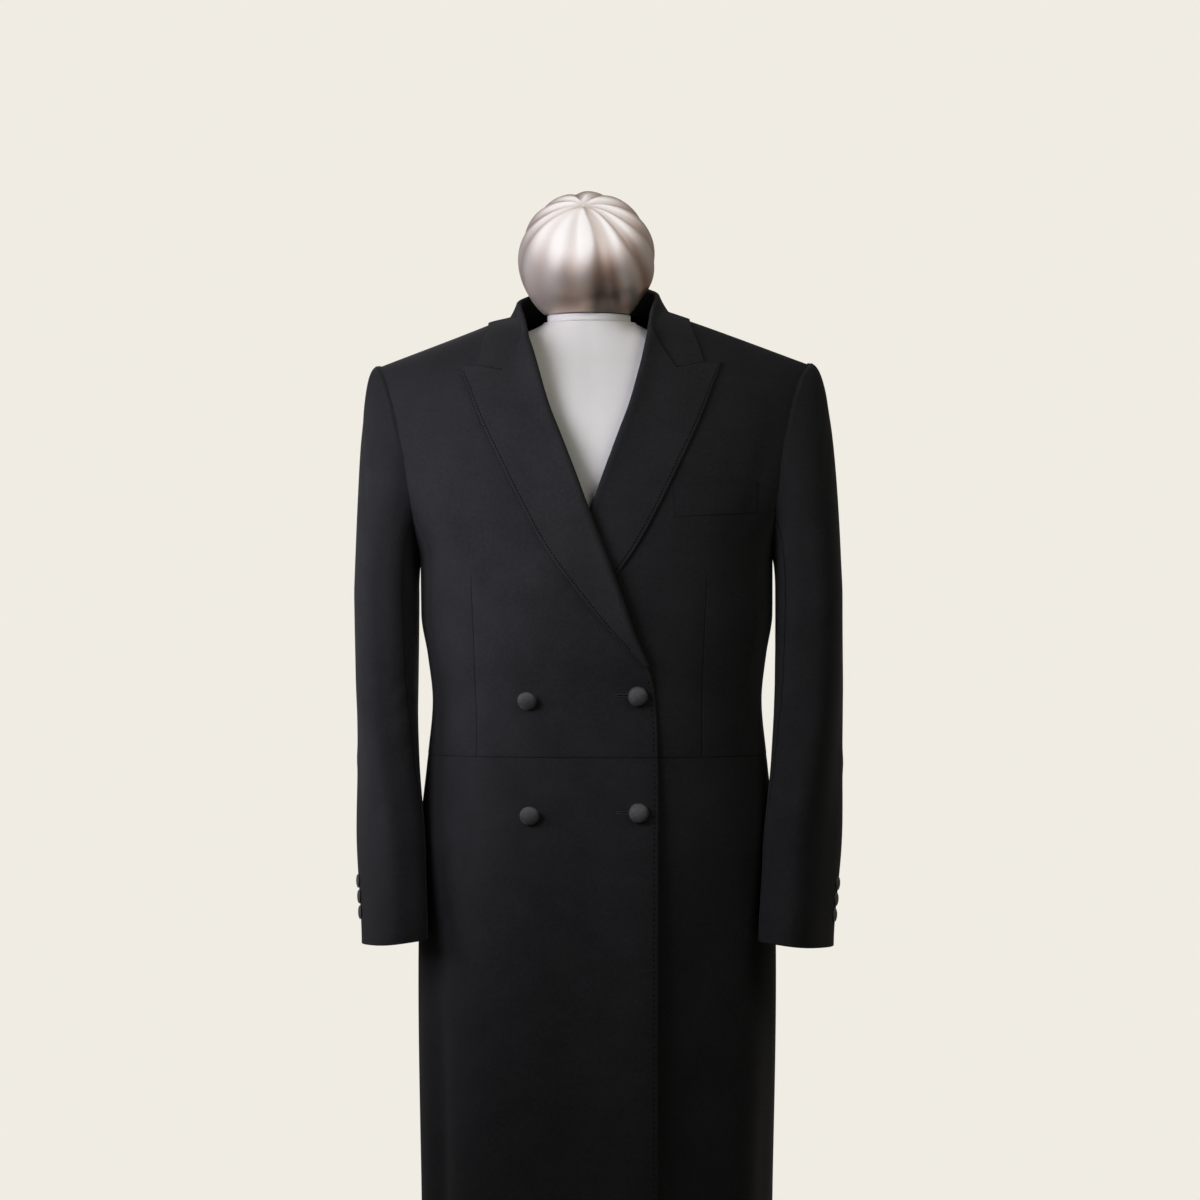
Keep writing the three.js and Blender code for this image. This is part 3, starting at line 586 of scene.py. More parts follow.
@dataclass
class ClothPiece:
    """A cut piece of cloth on a smooth surface: a closed thin wall whose borders are rounded.

    The surface gives the middle of the wall from u across and v along, both 0 to 1. Lines are darts
    that cross the rows up to v = line_end. Sewn names the borders that are seams, from: first and
    last column, and bottom and top row; the top one shows from u = top_from on. Along these borders
    and the darts, a dark line of painted shade stands in for the shade in the seam. The shade setting
    is how dark these painted lines are, and hem is how far up the cloth is doubled, mm.
    """

    name: str
    surface: Surface
    across: int
    along: int
    finish: Finish = Finish.WOOL
    thickness: float = CLOTH
    flip: bool = False
    relief: Callable[[Array, Array], Array] | None = None
    lines: Sequence[Callable[[Array], Array]] = ()
    line_end: float = 1.0
    sewn: str = ""
    seam_shade: float = 0.5
    top_from: float = 0.0
    hem: float = 0.0
    flat: tuple[float, float] = field(default=(0.0, 0.0), init=False)
    area: float = field(default=0.0, init=False)

    def grid(self) -> tuple[Array, Array]:
        """The places u and v of the wall's grid, closer at the borders and along each sewn line.

        Returns:
            u and v, a row for each place along.
        """
        v_rough = np.linspace(0, 1, ROUGH_ALONG)
        u, v = np.meshgrid(np.linspace(0, 1, ROUGH_ACROSS), v_rough)
        rough = self.surface(u, v)
        widths = lengths(rough, 1)[:, -1]
        height = lengths(rough, 0)[-1].max()
        self.flat = (widths.max() * MM, height * MM)
        v_line = spaced(self.along, np.array([height]))[0]
        row_width = np.interp(v_line, v_rough, widths)
        places = spaced(self.across, row_width)
        for line in self.lines:
            middle = line(v_line)[:, None] + LINE_STEPS / row_width[:, None]
            places = np.sort(np.concatenate([places, np.clip(middle, 0.001, 0.999)], axis=1), axis=1)
        return places, np.repeat(v_line[:, None], places.shape[1], axis=1)

    def painted_seam_shade(self, u: Array, v: Array, run_u: Array, run_v: Array) -> Array:
        """Painted shade on the sewn borders and the darts: a narrow bell of darkness on each, 0 to 1, in
        place of the shade in the seams.

        Args:
            u: places across.
            v: places along.
            run_u: length from the first column, mm.
            run_v: length from the bottom row, mm.

        Returns:
            The painted shade of each place.
        """
        top = run_v[-1:] - run_v + UNSEEN * (u < self.top_from)
        borders = {"first": run_u, "last": run_u[:, -1:] - run_u, "bottom": run_v, "top": top}
        dark = sum((bell(borders[border], SEAM_SHADE_WIDTH) for border in self.sewn.split()), np.zeros(u.shape))
        for line in self.lines:
            fade = smooth((self.line_end - v) / LINE_FADE)
            dark = dark + bell((u - line(v)) * run_u[:, -1:], LINE_SHADE_WIDTH) * fade
        return self.seam_shade * np.clip(dark, 0, 1)

    def mesh(self) -> MeshData:
        """The wall: the middle moved out and in by half its thickness, which fades at the borders.

        The half thickness at d from the border is T/2 times sqrt(1 - (1 - d/r)^2), a quarter round.

        Returns:
            The closed wall.
        """
        u, v = self.grid()
        middle = self.surface(u, v)
        normal = grid_normals(middle)
        side = -1.0 if self.flip else 1.0
        run_u, run_v = lengths(middle, 1), lengths(middle, 0)
        border = np.minimum.reduce([run_u, run_u[:, -1:] - run_u, run_v, run_v[-1:] - run_v])
        near = np.clip(border / (0.5 * self.thickness), 0, 1)
        half = 0.5 * self.thickness * np.sqrt(np.clip(1 - (1 - near) ** 2, 0, 1))
        out = half if self.relief is None else half + self.relief(u, v) * near
        inside = half + HEM_EXTRA * (run_v < self.hem) * near
        outer = middle + side * normal * out[..., None]
        inner = middle - side * normal * inside[..., None]
        rows, columns = u.shape
        outer_index = np.arange(rows * columns).reshape(rows, columns)
        inner_index = outer_index.copy()
        inner_count = (rows - 2) * (columns - 2)
        inner_index[1:-1, 1:-1] = rows * columns + np.arange(inner_count).reshape(rows - 2, -1)
        cells = np.cross(np.diff(middle, axis=1)[:-1], np.diff(middle, axis=0)[:, :-1])
        self.area = float(np.linalg.norm(cells, axis=-1).sum()) * MM * MM
        # painted shade along the seams, kept in the fold attribute that darkens the wool
        fold = self.painted_seam_shade(u, v, run_u, run_v)
        mid = slice(columns // 2, columns // 2 + 1)
        grain = np.stack([run_u - run_u[:, mid], np.repeat(run_v[:, mid], columns, axis=1)], -1)
        points = np.concatenate([outer.reshape(-1, 3), inner[1:-1, 1:-1].reshape(-1, 3)])
        grain = np.concatenate([grain.reshape(-1, 2), grain[1:-1, 1:-1].reshape(-1, 2)]) * MM
        fold = np.concatenate([fold.ravel(), np.zeros(inner_count)])
        faces = np.concatenate([grid_faces(outer_index, self.flip), grid_faces(inner_index, not self.flip)])
        return MeshData(points, faces, grain, fold)

    def build(self, nodes: Sequence[str], held: str, rests_on: Sequence[str]) -> bpy.types.Object:
        """Makes the piece.

        Args:
            nodes: the frame's nodes that it stands for.
            held: how the cloth is held; not used.
            rests_on: what it lies on or hangs from; not used.

        Returns:
            The new object.
        """
        piece = self.mesh().piece(self.name, self.finish, nodes)
        return piece


def capped(rings: Array, ends: Array, grain: Array) -> MeshData:
    """Closed rings one above another, with a fan of triangles to a point at each end.

    Args:
        rings: rows of points, each row once round counter-clockwise as seen from the last end.
        ends: the first and the last point on the axis.
        grain: each ring point's place on the cloth, mm.

    Returns:
        The closed mesh, faces outwards.
    """
    rows, around = rings.shape[:2]
    index = np.arange(rows * around).reshape(rows, around)
    index = np.concatenate([index, index[:, :1]], axis=1)
    first, last = np.full(around, rows * around), np.full(around, rows * around + 1)
    bottom = np.stack([index[0, 1:], index[0, :-1], first, first], -1)
    top = np.stack([index[-1, :-1], index[-1, 1:], last, last], -1)
    grain = np.concatenate([grain.reshape(-1, 2), grain[[0, -1], [0, 0]]]) * MM
    points = np.concatenate([rings.reshape(-1, 3), ends])
    return MeshData(points, np.concatenate([grid_faces(index, False), bottom, top]), grain)


def turned(profile: Array, segments: int, centre: tuple[float, float]) -> MeshData:
    """A lathe piece round a vertical line: each (radius, height) point carried round it.

    Args:
        profile: rows of radius and height, from the axis at the bottom to the axis at the top.
        segments: steps round the circle.
        centre: x and y of the line.

    Returns:
        The closed mesh.
    """
    angle = np.arange(segments) * 2 * math.pi / segments
    radius, height = profile[1:-1, :1], np.repeat(profile[1:-1, 1:], segments, axis=1)
    x, y = centre[0] + radius * np.cos(angle), centre[1] + radius * np.sin(angle)
    rings = np.stack([x, y, height], axis=-1)
    run = np.repeat(lengths(rings, 0)[:, :1], segments, axis=1)
    grain = np.stack([np.repeat((angle * radius.max())[None], len(radius), 0), run], -1)
    ends = np.array([[*centre, profile[0, 1]], [*centre, profile[-1, 1]]])
    return capped(rings, ends, grain)


# ------------------------------------------------------------------ the coat's body surface
@dataclass(frozen=True)
class Fit:
    """How one half of the coat is cut and worn."""

    name: str
    sign: int
    over: bool
    girth: float
    out: float


class Side(Enum):
    """The coat's halves, named for the wearer; the right one laps over."""

    RIGHT = Fit("right", -1, True, 0.985, -0.7)
    LEFT = Fit("left", 1, False, 1.065, 1.2)
    WHOLE = Fit("whole", 1, False, 1.0, 0.0)


@dataclass(frozen=True)
class BodyForm:
    """The coat's outside as a surface over (turn, z): superellipse sections under an arched shoulder.

    Turn is -90 at the middle of the front, 0 at the side and 90 at the middle of the back.
    """

    power: float = 2.35  # squareness of the sections, 2 is an ellipse
    arch_power: float = 2.2  # squareness of the shoulder's rounding
    chest_z: float = 1300.0  # above it the body rounds in
    tip_z: float = 1471.0  # height of the shoulder's tip
    tip_x: float = 231.0  # and its place
    slope: float = 0.374  # rise of the shoulder towards the neck
    neck_rise: float = 20.0  # further rise beside the neck
    neck_reach: float = 75.0  # which starts this far out
    right_raise: float = 4.2  # the right shoulder is padded up by this much
    crest: float = 1.2  # the ridge rounds over within this height
    sections: Table = Table(
        "z half front back",
        (
            (390, 184.5, 150, 165), (572, 186.5, 143, 152), (850, 192, 131, 133), (950, 192, 125, 125),
            (1050, 183, 113, 104), (1112, 177.5, 112, 100), (1160, 182.5, 115, 104),
            (1205, 189.5, 118, 109), (1262, 190, 120, 114), (1330, 221, 120, 116),
            (1400, 239, 118, 116), (1467, 248, 114, 114), (1560, 252, 110, 112),
        ),
    )
    stance: Table = Table(
        "z shift tilt", ((1050, -3, 0), (1300, -4, 0.006), (1467, -7, 0.012), (1560, -13.5, 0.05))
    )
    folds: Table = Table(
        "phi width low high depth lean",
        (
            (-125, 12, 150, 1230, 6.2, 2), (-94, 10, 150, 1190, -4.6, 2), (-150, 9, 150, 1010, -7.6, 2),
            (-172, 9, 150, 960, 2.0, 0), (-62, 8, 150, 1000, -3.0, 3), (-36, 9, 150, 980, 3.2, 3),
            (-18, 8, 150, 940, -2.4, 3), (6, 10, 150, 1000, 3.0, 0), (28, 8, 150, 980, -3.2, 2),
            (48, 9, 150, 1010, 3.6, 2), (68, 8, 150, 1000, -3.0, 1), (112, 8, 150, 1000, -3.2, -1),
            (132, 9, 150, 1010, 3.8, -2), (153, 8, 150, 980, -3.0, -2), (174, 10, 150, 1000, 3.0, 0),
            (-42, 5, 1270, 1440, -1.8, 3), (-138, 5, 1270, 1440, -1.8, -3),
            (44, 6, 1240, 1450, -2.2, -3), (136, 6, 1240, 1450, -2.2, 3), (-30, 7, 1090, 1260, 1.2, 5),
            (-150, 7, 1090, 1260, 1.2, -5),
        ),
    )

    def ridge(self, x: Array) -> Array:
        """Height of the shoulder ridge: a straight slope from the tip, with a rise at the neck."""
        straight = self.tip_z - 0.5 + self.slope * (self.tip_x - np.abs(x))
        return straight + self.neck_rise * np.clip(1 - np.abs(x) / self.neck_reach, 0, 1) ** 1.5

    def point(self, turn: Array, z: Array) -> Array:
        """A point of the plain surface.

        x = half * cos^(2/p), y = depth * sin^(2/p) * arch, and arch = (1 - climb^a)^(1/a), where
        climb runs from 0 at the chest to 1 at the ridge.

        Args:
            turn: degrees round the body.
            z: height, mm.

        Returns:
            The point, not yet mirrored or worn.
        """
        turn, z = np.broadcast_arrays(np.asarray(turn, float), np.asarray(z, float))
        angle = np.radians(turn)
        x = self.sections.curve("half")(z) * signed_power(np.cos(angle), 2 / self.power)
        depth = np.where(turn < 0, self.sections.curve("front")(z), self.sections.curve("back")(z))
        climb = np.clip((z - self.chest_z) / (self.ridge(x) - self.chest_z), 0, 1)
        arch = (1 - climb**self.arch_power) ** (1 / self.arch_power)
        y = depth * signed_power(np.sin(angle), 2 / self.power) * arch
        return np.stack([x, y, z], axis=-1)

    def turn_at(self, x: Array, z: Array, front: bool = True) -> Array:
        """The turn at which the section passes x, on the front or on the back."""
        part = np.minimum(1.0, np.abs(x) / self.sections.curve("half")(z))
        return np.degrees(np.arccos(np.sign(x) * part ** (self.power / 2))) * (-1.0 if front else 1.0)

    def normal(self, turn: Array, z: Array) -> Array:
        """The plain surface's outward normal, by small steps round and along it.

        Args:
            turn: degrees round the body.
            z: height, mm.

        Returns:
            A unit vector at each place.
        """
        turn, z = np.broadcast_arrays(np.asarray(turn, float), np.asarray(z, float))
        here = self.point(turn, z)
        top = self.ridge(here[..., 0])
        low = np.minimum(z, top - self.crest)
        along = self.point(turn, low + 0.6) - self.point(turn, low - 0.6)
        around = self.point(turn + 0.3, low) - self.point(turn - 0.3, low)
        normal = unit(np.cross(around, along))
        over_crest = unit(np.array([self.slope, 0, 1]))
        blend = smooth((z - (top - self.crest)) / self.crest)[..., None]
        return unit(mix(normal, over_crest, blend))

    def drape(self, turn: Array, z: Array, side: Side) -> Array:
        """How far the cloth stands out in folds, mm: soft bells round the body, fading at their ends.

        Args:
            turn: degrees round the body.
            z: height, mm.
            side: the coat's half.

        Returns:
            mm out from the plain surface.
        """
        phi = turn if side.value.sign > 0 else 180 - turn
        out = np.zeros(np.broadcast(turn, z).shape)
        for centre, width, low, high, depth, lean in self.folds.rows:
            place = centre + lean * (z - low) / (high - low)
            away = (phi - place + 180) % 360 - 180
            fade = smooth((high - z) / (0.45 * (high - low))) * smooth((z - low) / 60)
            out = out + depth * bell(away, width) * fade
        return out

    def worn(self, points: Array, side: Side) -> Array:
        """The points as the coat hangs: mirrored to their side, shifted and tilted.

        Args:
            points: points on the wearer's left.
            side: the coat's half.

        Returns:
            The points in the room.
        """
        z = points[..., 2]
        x = points[..., 0] * side.value.sign
        climb = (z - self.chest_z) / (self.ridge(x) - self.chest_z)
        padding = self.right_raise * smooth((climb - 0.8) / 0.2) * smooth((-x - self.neck_reach) / 35)
        rise = self.stance.curve("tilt")(z) * x + padding
        return np.stack([x + self.stance.curve("shift")(z), points[..., 1], z + rise], axis=-1)

    def place(self, turn: Array, z: Array, side: Side, lift: Array | float = 0.0) -> Array:
        """A worn point, moved out from the plain surface by lift and by the folds."""
        out = np.asarray(lift + self.drape(turn, z, side))[..., None]
        return self.worn(self.point(turn, z) + self.normal(turn, z) * out, side)


BODY = BodyForm()
WAIST_Z, HEM_Z, BREAK_Z, ROLL_TOP_Z = 1054.0, 390.0, 1144.0, 1499.0
SIDE_SEAM_TOP, UNDERARM_Z = 1313.0, 1262.0
SEAM = -0.2  # gap at a level seam, mm: the walls run into each other by a hair

ARMHOLE = Table(
    "z x",
    (
        (1262, 190), (1290, 191.5), (1316, 194), (1347, 198.5), (1372, 201.5),
        (1395, 206), (1419, 211.2), (1442, 217.5), (1459, 224.5), (1471, 232),
    ),
)
ROLL = Table(
    "z x",
    (
        (390, -69.6), (1000, -69.6), (1072, -68.7), (1115, -66.4), (1144, -61.3), (1183, -45.5),
        (1214, -35.5), (1249, -23.3), (1285, -10), (1312, 0), (1344, 11.5), (1397, 31.5),
        (1424, 41.9), (1462, 52.8), (1490, 60), (1520, 68.4), (1548, 73.7),
    ),
)
LAPEL_EDGE = Table(
    "z x",
    (
        (1144, -60.7), (1154, -51), (1172, -35), (1188, -19.4), (1212, 1.3), (1238.6, 22), (1266, 42.3),
        (1283, 53), (1322, 74.3), (1365, 95.5), (1411, 117), (1443.5, 129.5), (1469.4, 138),
    ),
)
GORGE = Table(
    "u x z",
    ((0, 62.5, 1499), (0.2016, 78, 1483), (0.4032, 92, 1463.5), (0.72, 121, 1469.6), (1, 138, 1469.4)),
)
BACK_SEAM = Table("z turn", ((390, 64), (1054, 60), (1200, 43)))

roll_x = ROLL.curve("x")
armhole_x = ARMHOLE.curve("x")
lapel_edge_x = LAPEL_EDGE.curve("x")
side_seam_turn = float(BODY.turn_at(armhole_x(SIDE_SEAM_TOP), SIDE_SEAM_TOP))
back_seam_turn = Curve(
    [*BACK_SEAM.column("z"), SIDE_SEAM_TOP], [*BACK_SEAM.column("turn"), -side_seam_turn]
)


@dataclass(frozen=True)
class Overlap:
    """How the two fronts lie on each other, and how the edge of the upper one stands away."""

    lift: float = 3.4  # the upper front over the lower one
    over_lapel: float = 3.1  # and this much more over the lower lapel
    spread: float = 90.0  # both fade in over this width
    flare: float = 3.0  # the upper skirt's front edge stands away
    recess: float = 6.0  # the lower skirt falls back

    def out(self, x: Array, z: Array, side: Side) -> Array:
        """How far a front lies out from the plain surface, mm; x is on the front's own side.

        Args:
            x: place across, on the front's own side.
            z: height, mm.
            side: the coat's half.

        Returns:
            mm out from the plain surface.
        """
        if side is Side.WHOLE:
            return np.zeros(np.broadcast(x, z).shape)
        skirt = smooth((1130 - z) / 160)
        if side is Side.RIGHT:
            covers = smooth((-x - roll_x(z) + self.spread) / self.spread)
            cover = self.lift * covers
            lapel = self.over_lapel * covers * smooth((z - 1118) / 40)
            edge = self.flare * smooth((-x - 20) / 48) * skirt
            return cover + lapel + edge
        back = self.recess * smooth((x + 40) / 90) * smooth((185 - x) / 70) * smooth((1080 - z) / 260)
        return -back


OVERLAP = Overlap()


def front_point(x: Array, z: Array, side: Side, lift: Array | float = 0.0) -> Array:
    """A worn point of a front, moved out by lift; x is on the front's own side."""
    return BODY.place(BODY.turn_at(x, z), z, side, lift + OVERLAP.out(x, z, side))


# ------------------------------------------------------------------ the coat's panels
@dataclass(frozen=True)
class Panels:
    """Foreparts, side bodies, backs and skirts: the wall panels of the coat."""

    half_seam: float = -0.05  # degrees round the body, at each upright seam
    centre_seam: float = -0.15  # where each back starts, mm from the middle
    middle: float = CLOTH / 2  # the wall's middle lies this far inside its outside
    lap: float = 0.3  # the skirts' tops are pressed in under the foreparts' edges
    roll_fold: float = 3.2  # radius of the fold at a lapel's roll
    pressed_fold: float = 1.6  # the same where the other front presses on it
    break_fold: float = 1.3  # and at the break
    neck_z: float = 1526.8  # the back's neck seam: its ends, half width and rise
    neck_half: float = 78.0
    neck_rise: float = 5.0
    forepart_split: float = 0.58  # v at which a forepart's level rows start to climb
    back_split: float = 0.8  # the same on a back
    dart_top: float = 1252.0
    dart_fade: float = 30.0
    dart: Table = Table(
        "z left right",
        ((1058, 121.4, 115.6), (1114, 122.9, 115.7), (1177, 125.4, 118.4), (1247, 127.6, 121.4)),
    )

    def fold_radius(self, z: Array, side: Side) -> Array:
        """Radius of the fold at a lapel's roll, tight at the break and where the other front presses.

        Args:
            z: height on the roll.
            side: the coat's half.

        Returns:
            The radius, mm.
        """
        free = 1.0 if side is Side.RIGHT else smooth((z - 1312) / 50)
        full = mix(self.pressed_fold, self.roll_fold, free)
        return mix(self.break_fold, full, smooth((z - BREAK_Z) / 60))

    def forepart_edge(self, z: Array, side: Side) -> Array:
        """Where a forepart ends: its front edge, then just behind the fold, then out to the neck."""
        behind = (self.fold_radius(z, side) + 1.0) * smooth((z - BREAK_Z + 4) / 15)
        return roll_x(z) + behind + 5.5 * smooth((z - ROLL_TOP_Z) / 28)

    def shoulder(self, x: Array) -> Array:
        """Height of the shoulder seam."""
        return BODY.ridge(x) - 0.0001

    def back_top(self, x: Array) -> Array:
        """Top of the back: the neck seam, then the shoulder seam."""
        neck = self.neck_z + self.neck_rise * (1 - (x / self.neck_half) ** 2)
        return np.where(x < self.neck_half, neck, self.shoulder(x))

    def climbing(self, v: Array, top: Callable[[Array], Array]) -> Callable[[Array], Array]:
        """Rows above the side seam that follow the shoulder more the higher they are.

        Args:
            v: places from 0 at the side seam's top to 1 at the shoulder.
            top: the height of the upper border over x.

        Returns:
            The height of each place's row, as a function of x.
        """
        climb = np.sin(np.clip(v, 0, 1) * math.pi / 2) ** 0.9
        return lambda x: mix(SIDE_SEAM_TOP, top(x), climb)

    def forepart(self, side: Side, u: Array, v: Array) -> Array:
        """A forepart: level rows up to the side seam's top, then rows that climb to the shoulder seam.

        Args:
            side: the coat's half.
            u: from the front edge to the side seam or armhole.
            v: from the waist seam to the shoulder seam.

        Returns:
            The middle of the wall.
        """
        split = self.forepart_split
        z_low = mix(WAIST_Z + SEAM / 2, SIDE_SEAM_TOP, np.clip(v / split, 0, 1))
        edge_turn = BODY.turn_at(self.forepart_edge(z_low, side), z_low)
        turn_low = mix(edge_turn, side_seam_turn - self.half_seam, u)
        row = self.climbing((v - split) / (1 - split), self.shoulder)
        start = settle(np.full(u.shape, 60.0), lambda x: self.forepart_edge(row(x), side))
        end = settle(np.full(u.shape, 210.0), lambda x: armhole_x(row(x)))
        turn_high = mix(BODY.turn_at(start, row(start)), BODY.turn_at(end, row(end)), u)
        z_high = settle(row(start), lambda z: row(BODY.point(turn_high, z)[..., 0]))
        turn = np.where(v > split, turn_high, turn_low)
        z = np.where(v > split, z_high, z_low)
        x = BODY.point(turn, z)[..., 0]
        return BODY.place(turn, z, side, OVERLAP.out(x, z, side) - self.middle)

    def dart_place(self, side: Side, v: Array) -> Array:
        """Where the dart crosses each row of a forepart.

        Args:
            side: the coat's half.
            v: the rows.

        Returns:
            The dart's u on each row.
        """
        line = self.dart.curve("left" if side is Side.RIGHT else "right")
        z = mix(WAIST_Z, SIDE_SEAM_TOP, np.clip(v / self.forepart_split, 0, 1))
        edge = BODY.turn_at(self.forepart_edge(z, side), z)
        return (BODY.turn_at(line(z), z) - edge) / (side_seam_turn - edge)

    def dart_relief(self, side: Side, u: Array, v: Array) -> Array:
        """A fine groove along the dart with a soft hollow round it, fading out at its upper point.

        Args:
            side: the coat's half.
            u: places across the forepart.
            v: places along it.

        Returns:
            How far the outside stands out, mm.
        """
        z = mix(WAIST_Z, SIDE_SEAM_TOP, v / self.forepart_split)
        away = (u - self.dart_place(side, v)) * 190.0
        fade = smooth((self.dart_top - z) / self.dart_fade)
        return -fade * (0.42 * bell(away, 0.55) + 0.5 * bell(away, 7.0))

    def armhole_z(self, turn: Array) -> Array:
        """Lower edge of the armhole at a turn round the body, by halving.

        Args:
            turn: degrees round the body.

        Returns:
            The edge's height, mm.
        """
        low = np.full(np.shape(turn), UNDERARM_Z)
        high = np.full(np.shape(turn), SIDE_SEAM_TOP + 12)
        for _ in range(40):
            z = (low + high) / 2
            inside = armhole_x(z) > BODY.point(turn, z)[..., 0]
            low, high = np.where(inside, z, low), np.where(inside, high, z)
        return low

    def side_body_turn(self, u: Array, z: Array) -> Array:
        """Turn round the body of a side body's places at a height."""
        return mix(side_seam_turn + self.half_seam, back_seam_turn(z) - self.half_seam, u)

    def side_body(self, side: Side, u: Array, v: Array) -> Array:
        """A side body: level rows between the two side seams, cut off by the armhole.

        Args:
            side: the coat's half.
            u: from the front seam to the back seam.
            v: from the waist seam to the armhole.

        Returns:
            The middle of the wall.
        """
        under = np.full(u.shape, UNDERARM_Z)
        top = settle(under, lambda z: self.armhole_z(self.side_body_turn(u, z)), 12)
        z = mix(WAIST_Z + SEAM / 2, top, v)
        return BODY.place(self.side_body_turn(u, z), z, side, -self.middle)

    def back(self, side: Side, u: Array, v: Array) -> Array:
        """A back: tail, bodice and shoulder in one cut, from the hem to the neck and shoulder seams.

        Args:
            side: the coat's half.
            u: from the centre seam to the side.
            v: from the hem to the top.

        Returns:
            The middle of the wall.
        """
        split = self.back_split
        centre = np.full(u.shape, self.centre_seam)
        z_low = mix(HEM_Z, SIDE_SEAM_TOP, np.clip(v / split, 0, 1))
        centre_turn = BODY.turn_at(centre, z_low, front=False)
        turn_low = mix(centre_turn, back_seam_turn(z_low) + self.half_seam, u)
        row = self.climbing((v - split) / (1 - split), self.back_top)
        end = settle(np.full(u.shape, 210.0), lambda x: armhole_x(row(x)))
        outer = BODY.turn_at(end, row(end), front=False)

        def turn_high(z: Array) -> Array:
            """Turn round the body on the climbing rows."""
            return mix(BODY.turn_at(centre, z, front=False), outer, u)

        z_high = settle(row(centre), lambda z: row(BODY.point(turn_high(z), z)[..., 0]))
        turn = np.where(v > split, turn_high(z_high), turn_low)
        z = np.where(v > split, z_high, z_low)
        return BODY.place(turn, z, side, -self.middle)

    def skirt(self, side: Side, u: Array, v: Array) -> Array:
        """A skirt: level rows from the hem to the waist seam.

        Args:
            side: the coat's half.
            u: from the front edge round to the back seam.
            v: from the hem to the waist seam.

        Returns:
            The middle of the wall.
        """
        z = mix(HEM_Z, WAIST_Z - SEAM / 2, v)
        turn = mix(BODY.turn_at(roll_x(z), z), back_seam_turn(z) - self.half_seam, u)
        x = BODY.point(turn, z)[..., 0]
        tucked = self.lap * smooth((z - WAIST_Z) / 5 + 1)
        out = np.where(turn < 0, OVERLAP.out(x, z, side), 0.0) - tucked
        return BODY.place(turn, z, side, out - self.middle)

    def build(self) -> None:
        """Makes the panels of both halves."""
        for side in (Side.RIGHT, Side.LEFT):
            # painted shade: the seams named in sewn and the foreparts' darts get dark lines, in place of
            # the shade in the seams
            name, flip = side.value.name, side is Side.RIGHT
            ClothPiece(
                f"cloth_forepart_{name}", partial(self.forepart, side), 46, 96, flip=flip,
                relief=partial(self.dart_relief, side), lines=[partial(self.dart_place, side)],
                line_end=0.445, sewn="bottom top",
            ).build([f"forepart_{name}"], "draped", ["jersey_torso"])
            ClothPiece(
                f"cloth_side_body_{name}", partial(self.side_body, side), 30, 50, flip=flip,
                sewn="last bottom top",
            ).build([f"side_body_{name}"], "draped", ["jersey_torso"])
            ClothPiece(
                f"cloth_back_{name}", partial(self.back, side), 36, 190, flip=not flip, hem=38,
                sewn="first last top",
            ).build([f"back_{name}"], "draped", ["jersey_torso"])
            ClothPiece(
                f"cloth_skirt_{name}", partial(self.skirt, side), 96, 96, flip=flip, hem=38,
                sewn="last top",
            ).build([f"skirt_{name}"], "hung", [f"cloth_forepart_{name}", f"cloth_side_body_{name}"])


# ------------------------------------------------------------------ lapels, collar and welt
@dataclass(frozen=True)
class Lapels:
    """The peaked lapels: a half-round fold at the roll, then the facing lying on the forepart."""

    thickness: float = 1.6
    rest: float = 1.85  # middle of the lapel over the forepart
    fade: float = 16.0  # how far from the roll it stays lofted
    fold_part: float = 0.16  # share of u that the fold takes
    tuck: float = 5.0  # the roll's top runs on under the collar's end
    above_break: float = 6.0  # the facing starts this far above the break
    peak_z: float = 1469.4
    panels: Panels = Panels()

    def outline(self, u: Array, v: Array) -> tuple[Array, Array]:
        """The lapel's flat place on the front, whose top rows bend to the gorge's notched line.

        Args:
            u: from the roll to the edge.
            v: from the break up to the gorge.

        Returns:
            x and z, mm.
        """
        roll_z = mix(BREAK_Z + self.above_break, ROLL_TOP_Z - 0.3, v)
        edge_z = mix(BREAK_Z + self.above_break, self.peak_z, v**0.96)
        bend = v**9
        x = mix(roll_x(roll_z), lapel_edge_x(edge_z), u)
        z = mix(roll_z, edge_z, u)
        x = x + bend * (GORGE.line("x", u) - mix(GORGE.rows[0][1], GORGE.rows[-1][1], u))
        z = z + bend * (GORGE.line("z", u) - mix(GORGE.rows[0][2], GORGE.rows[-1][2], u))
        return x, z

    def surface(self, side: Side, u: Array, v: Array) -> Array:
        """The folded strip: x = roll + r (1 - sin), out = r (1 - cos), then out fading to its rest.

        Args:
            side: the coat's half.
            u: from the fold's inside to the edge.
            v: from the break to the gorge.

        Returns:
            The middle of the wall.
        """
        roll, height = self.outline(np.zeros_like(u), v)
        radius = self.panels.fold_radius(height, side)
        turn = np.clip(u / self.fold_part, 0, 1) * math.pi
        fold_x = roll + radius * (1 - np.sin(turn))
        fold_out = -CLOTH / 2 + radius * (1 - np.cos(turn))
        flat_u = np.clip((u - self.fold_part) / (1 - self.fold_part), 0, 1)
        x, z = self.outline(flat_u, v)
        start = radius * (1 - flat_u) ** 6
        away = np.hypot(x - roll, z - height)
        loft = (2 * radius - CLOTH / 2 - self.rest) * np.exp(-np.maximum(0, away - radius) / self.fade)
        in_fold = u < self.fold_part
        out = np.where(in_fold, fold_out, self.rest + np.maximum(0, loft))
        tuck = self.tuck * smooth((v - 0.97) / 0.03) * (1 - smooth((u - 0.12) / 0.2))
        place_x = np.where(in_fold, fold_x, x + start) + 0.28 * tuck
        place_z = np.where(in_fold, height, z) + tuck
        return front_point(place_x, place_z, side, out)

    def build(self) -> None:
        """Makes both lapels."""
        for side in (Side.RIGHT, Side.LEFT):
            name = side.value.name
            # painted shadow: the outer edge and the notch's top get a dark line of painted shade, in place
            # of the shadow the lapel's edge casts on the front
            ClothPiece(
                f"cloth_lapel_{name}", partial(self.surface, side), 60, 110, finish=Finish.FACING,
                thickness=self.thickness, flip=side is Side.RIGHT, sewn="last top", seam_shade=0.85,
                top_from=0.75,
            ).build([f"lapel_{name}"], "folded", [f"cloth_forepart_{name}"])


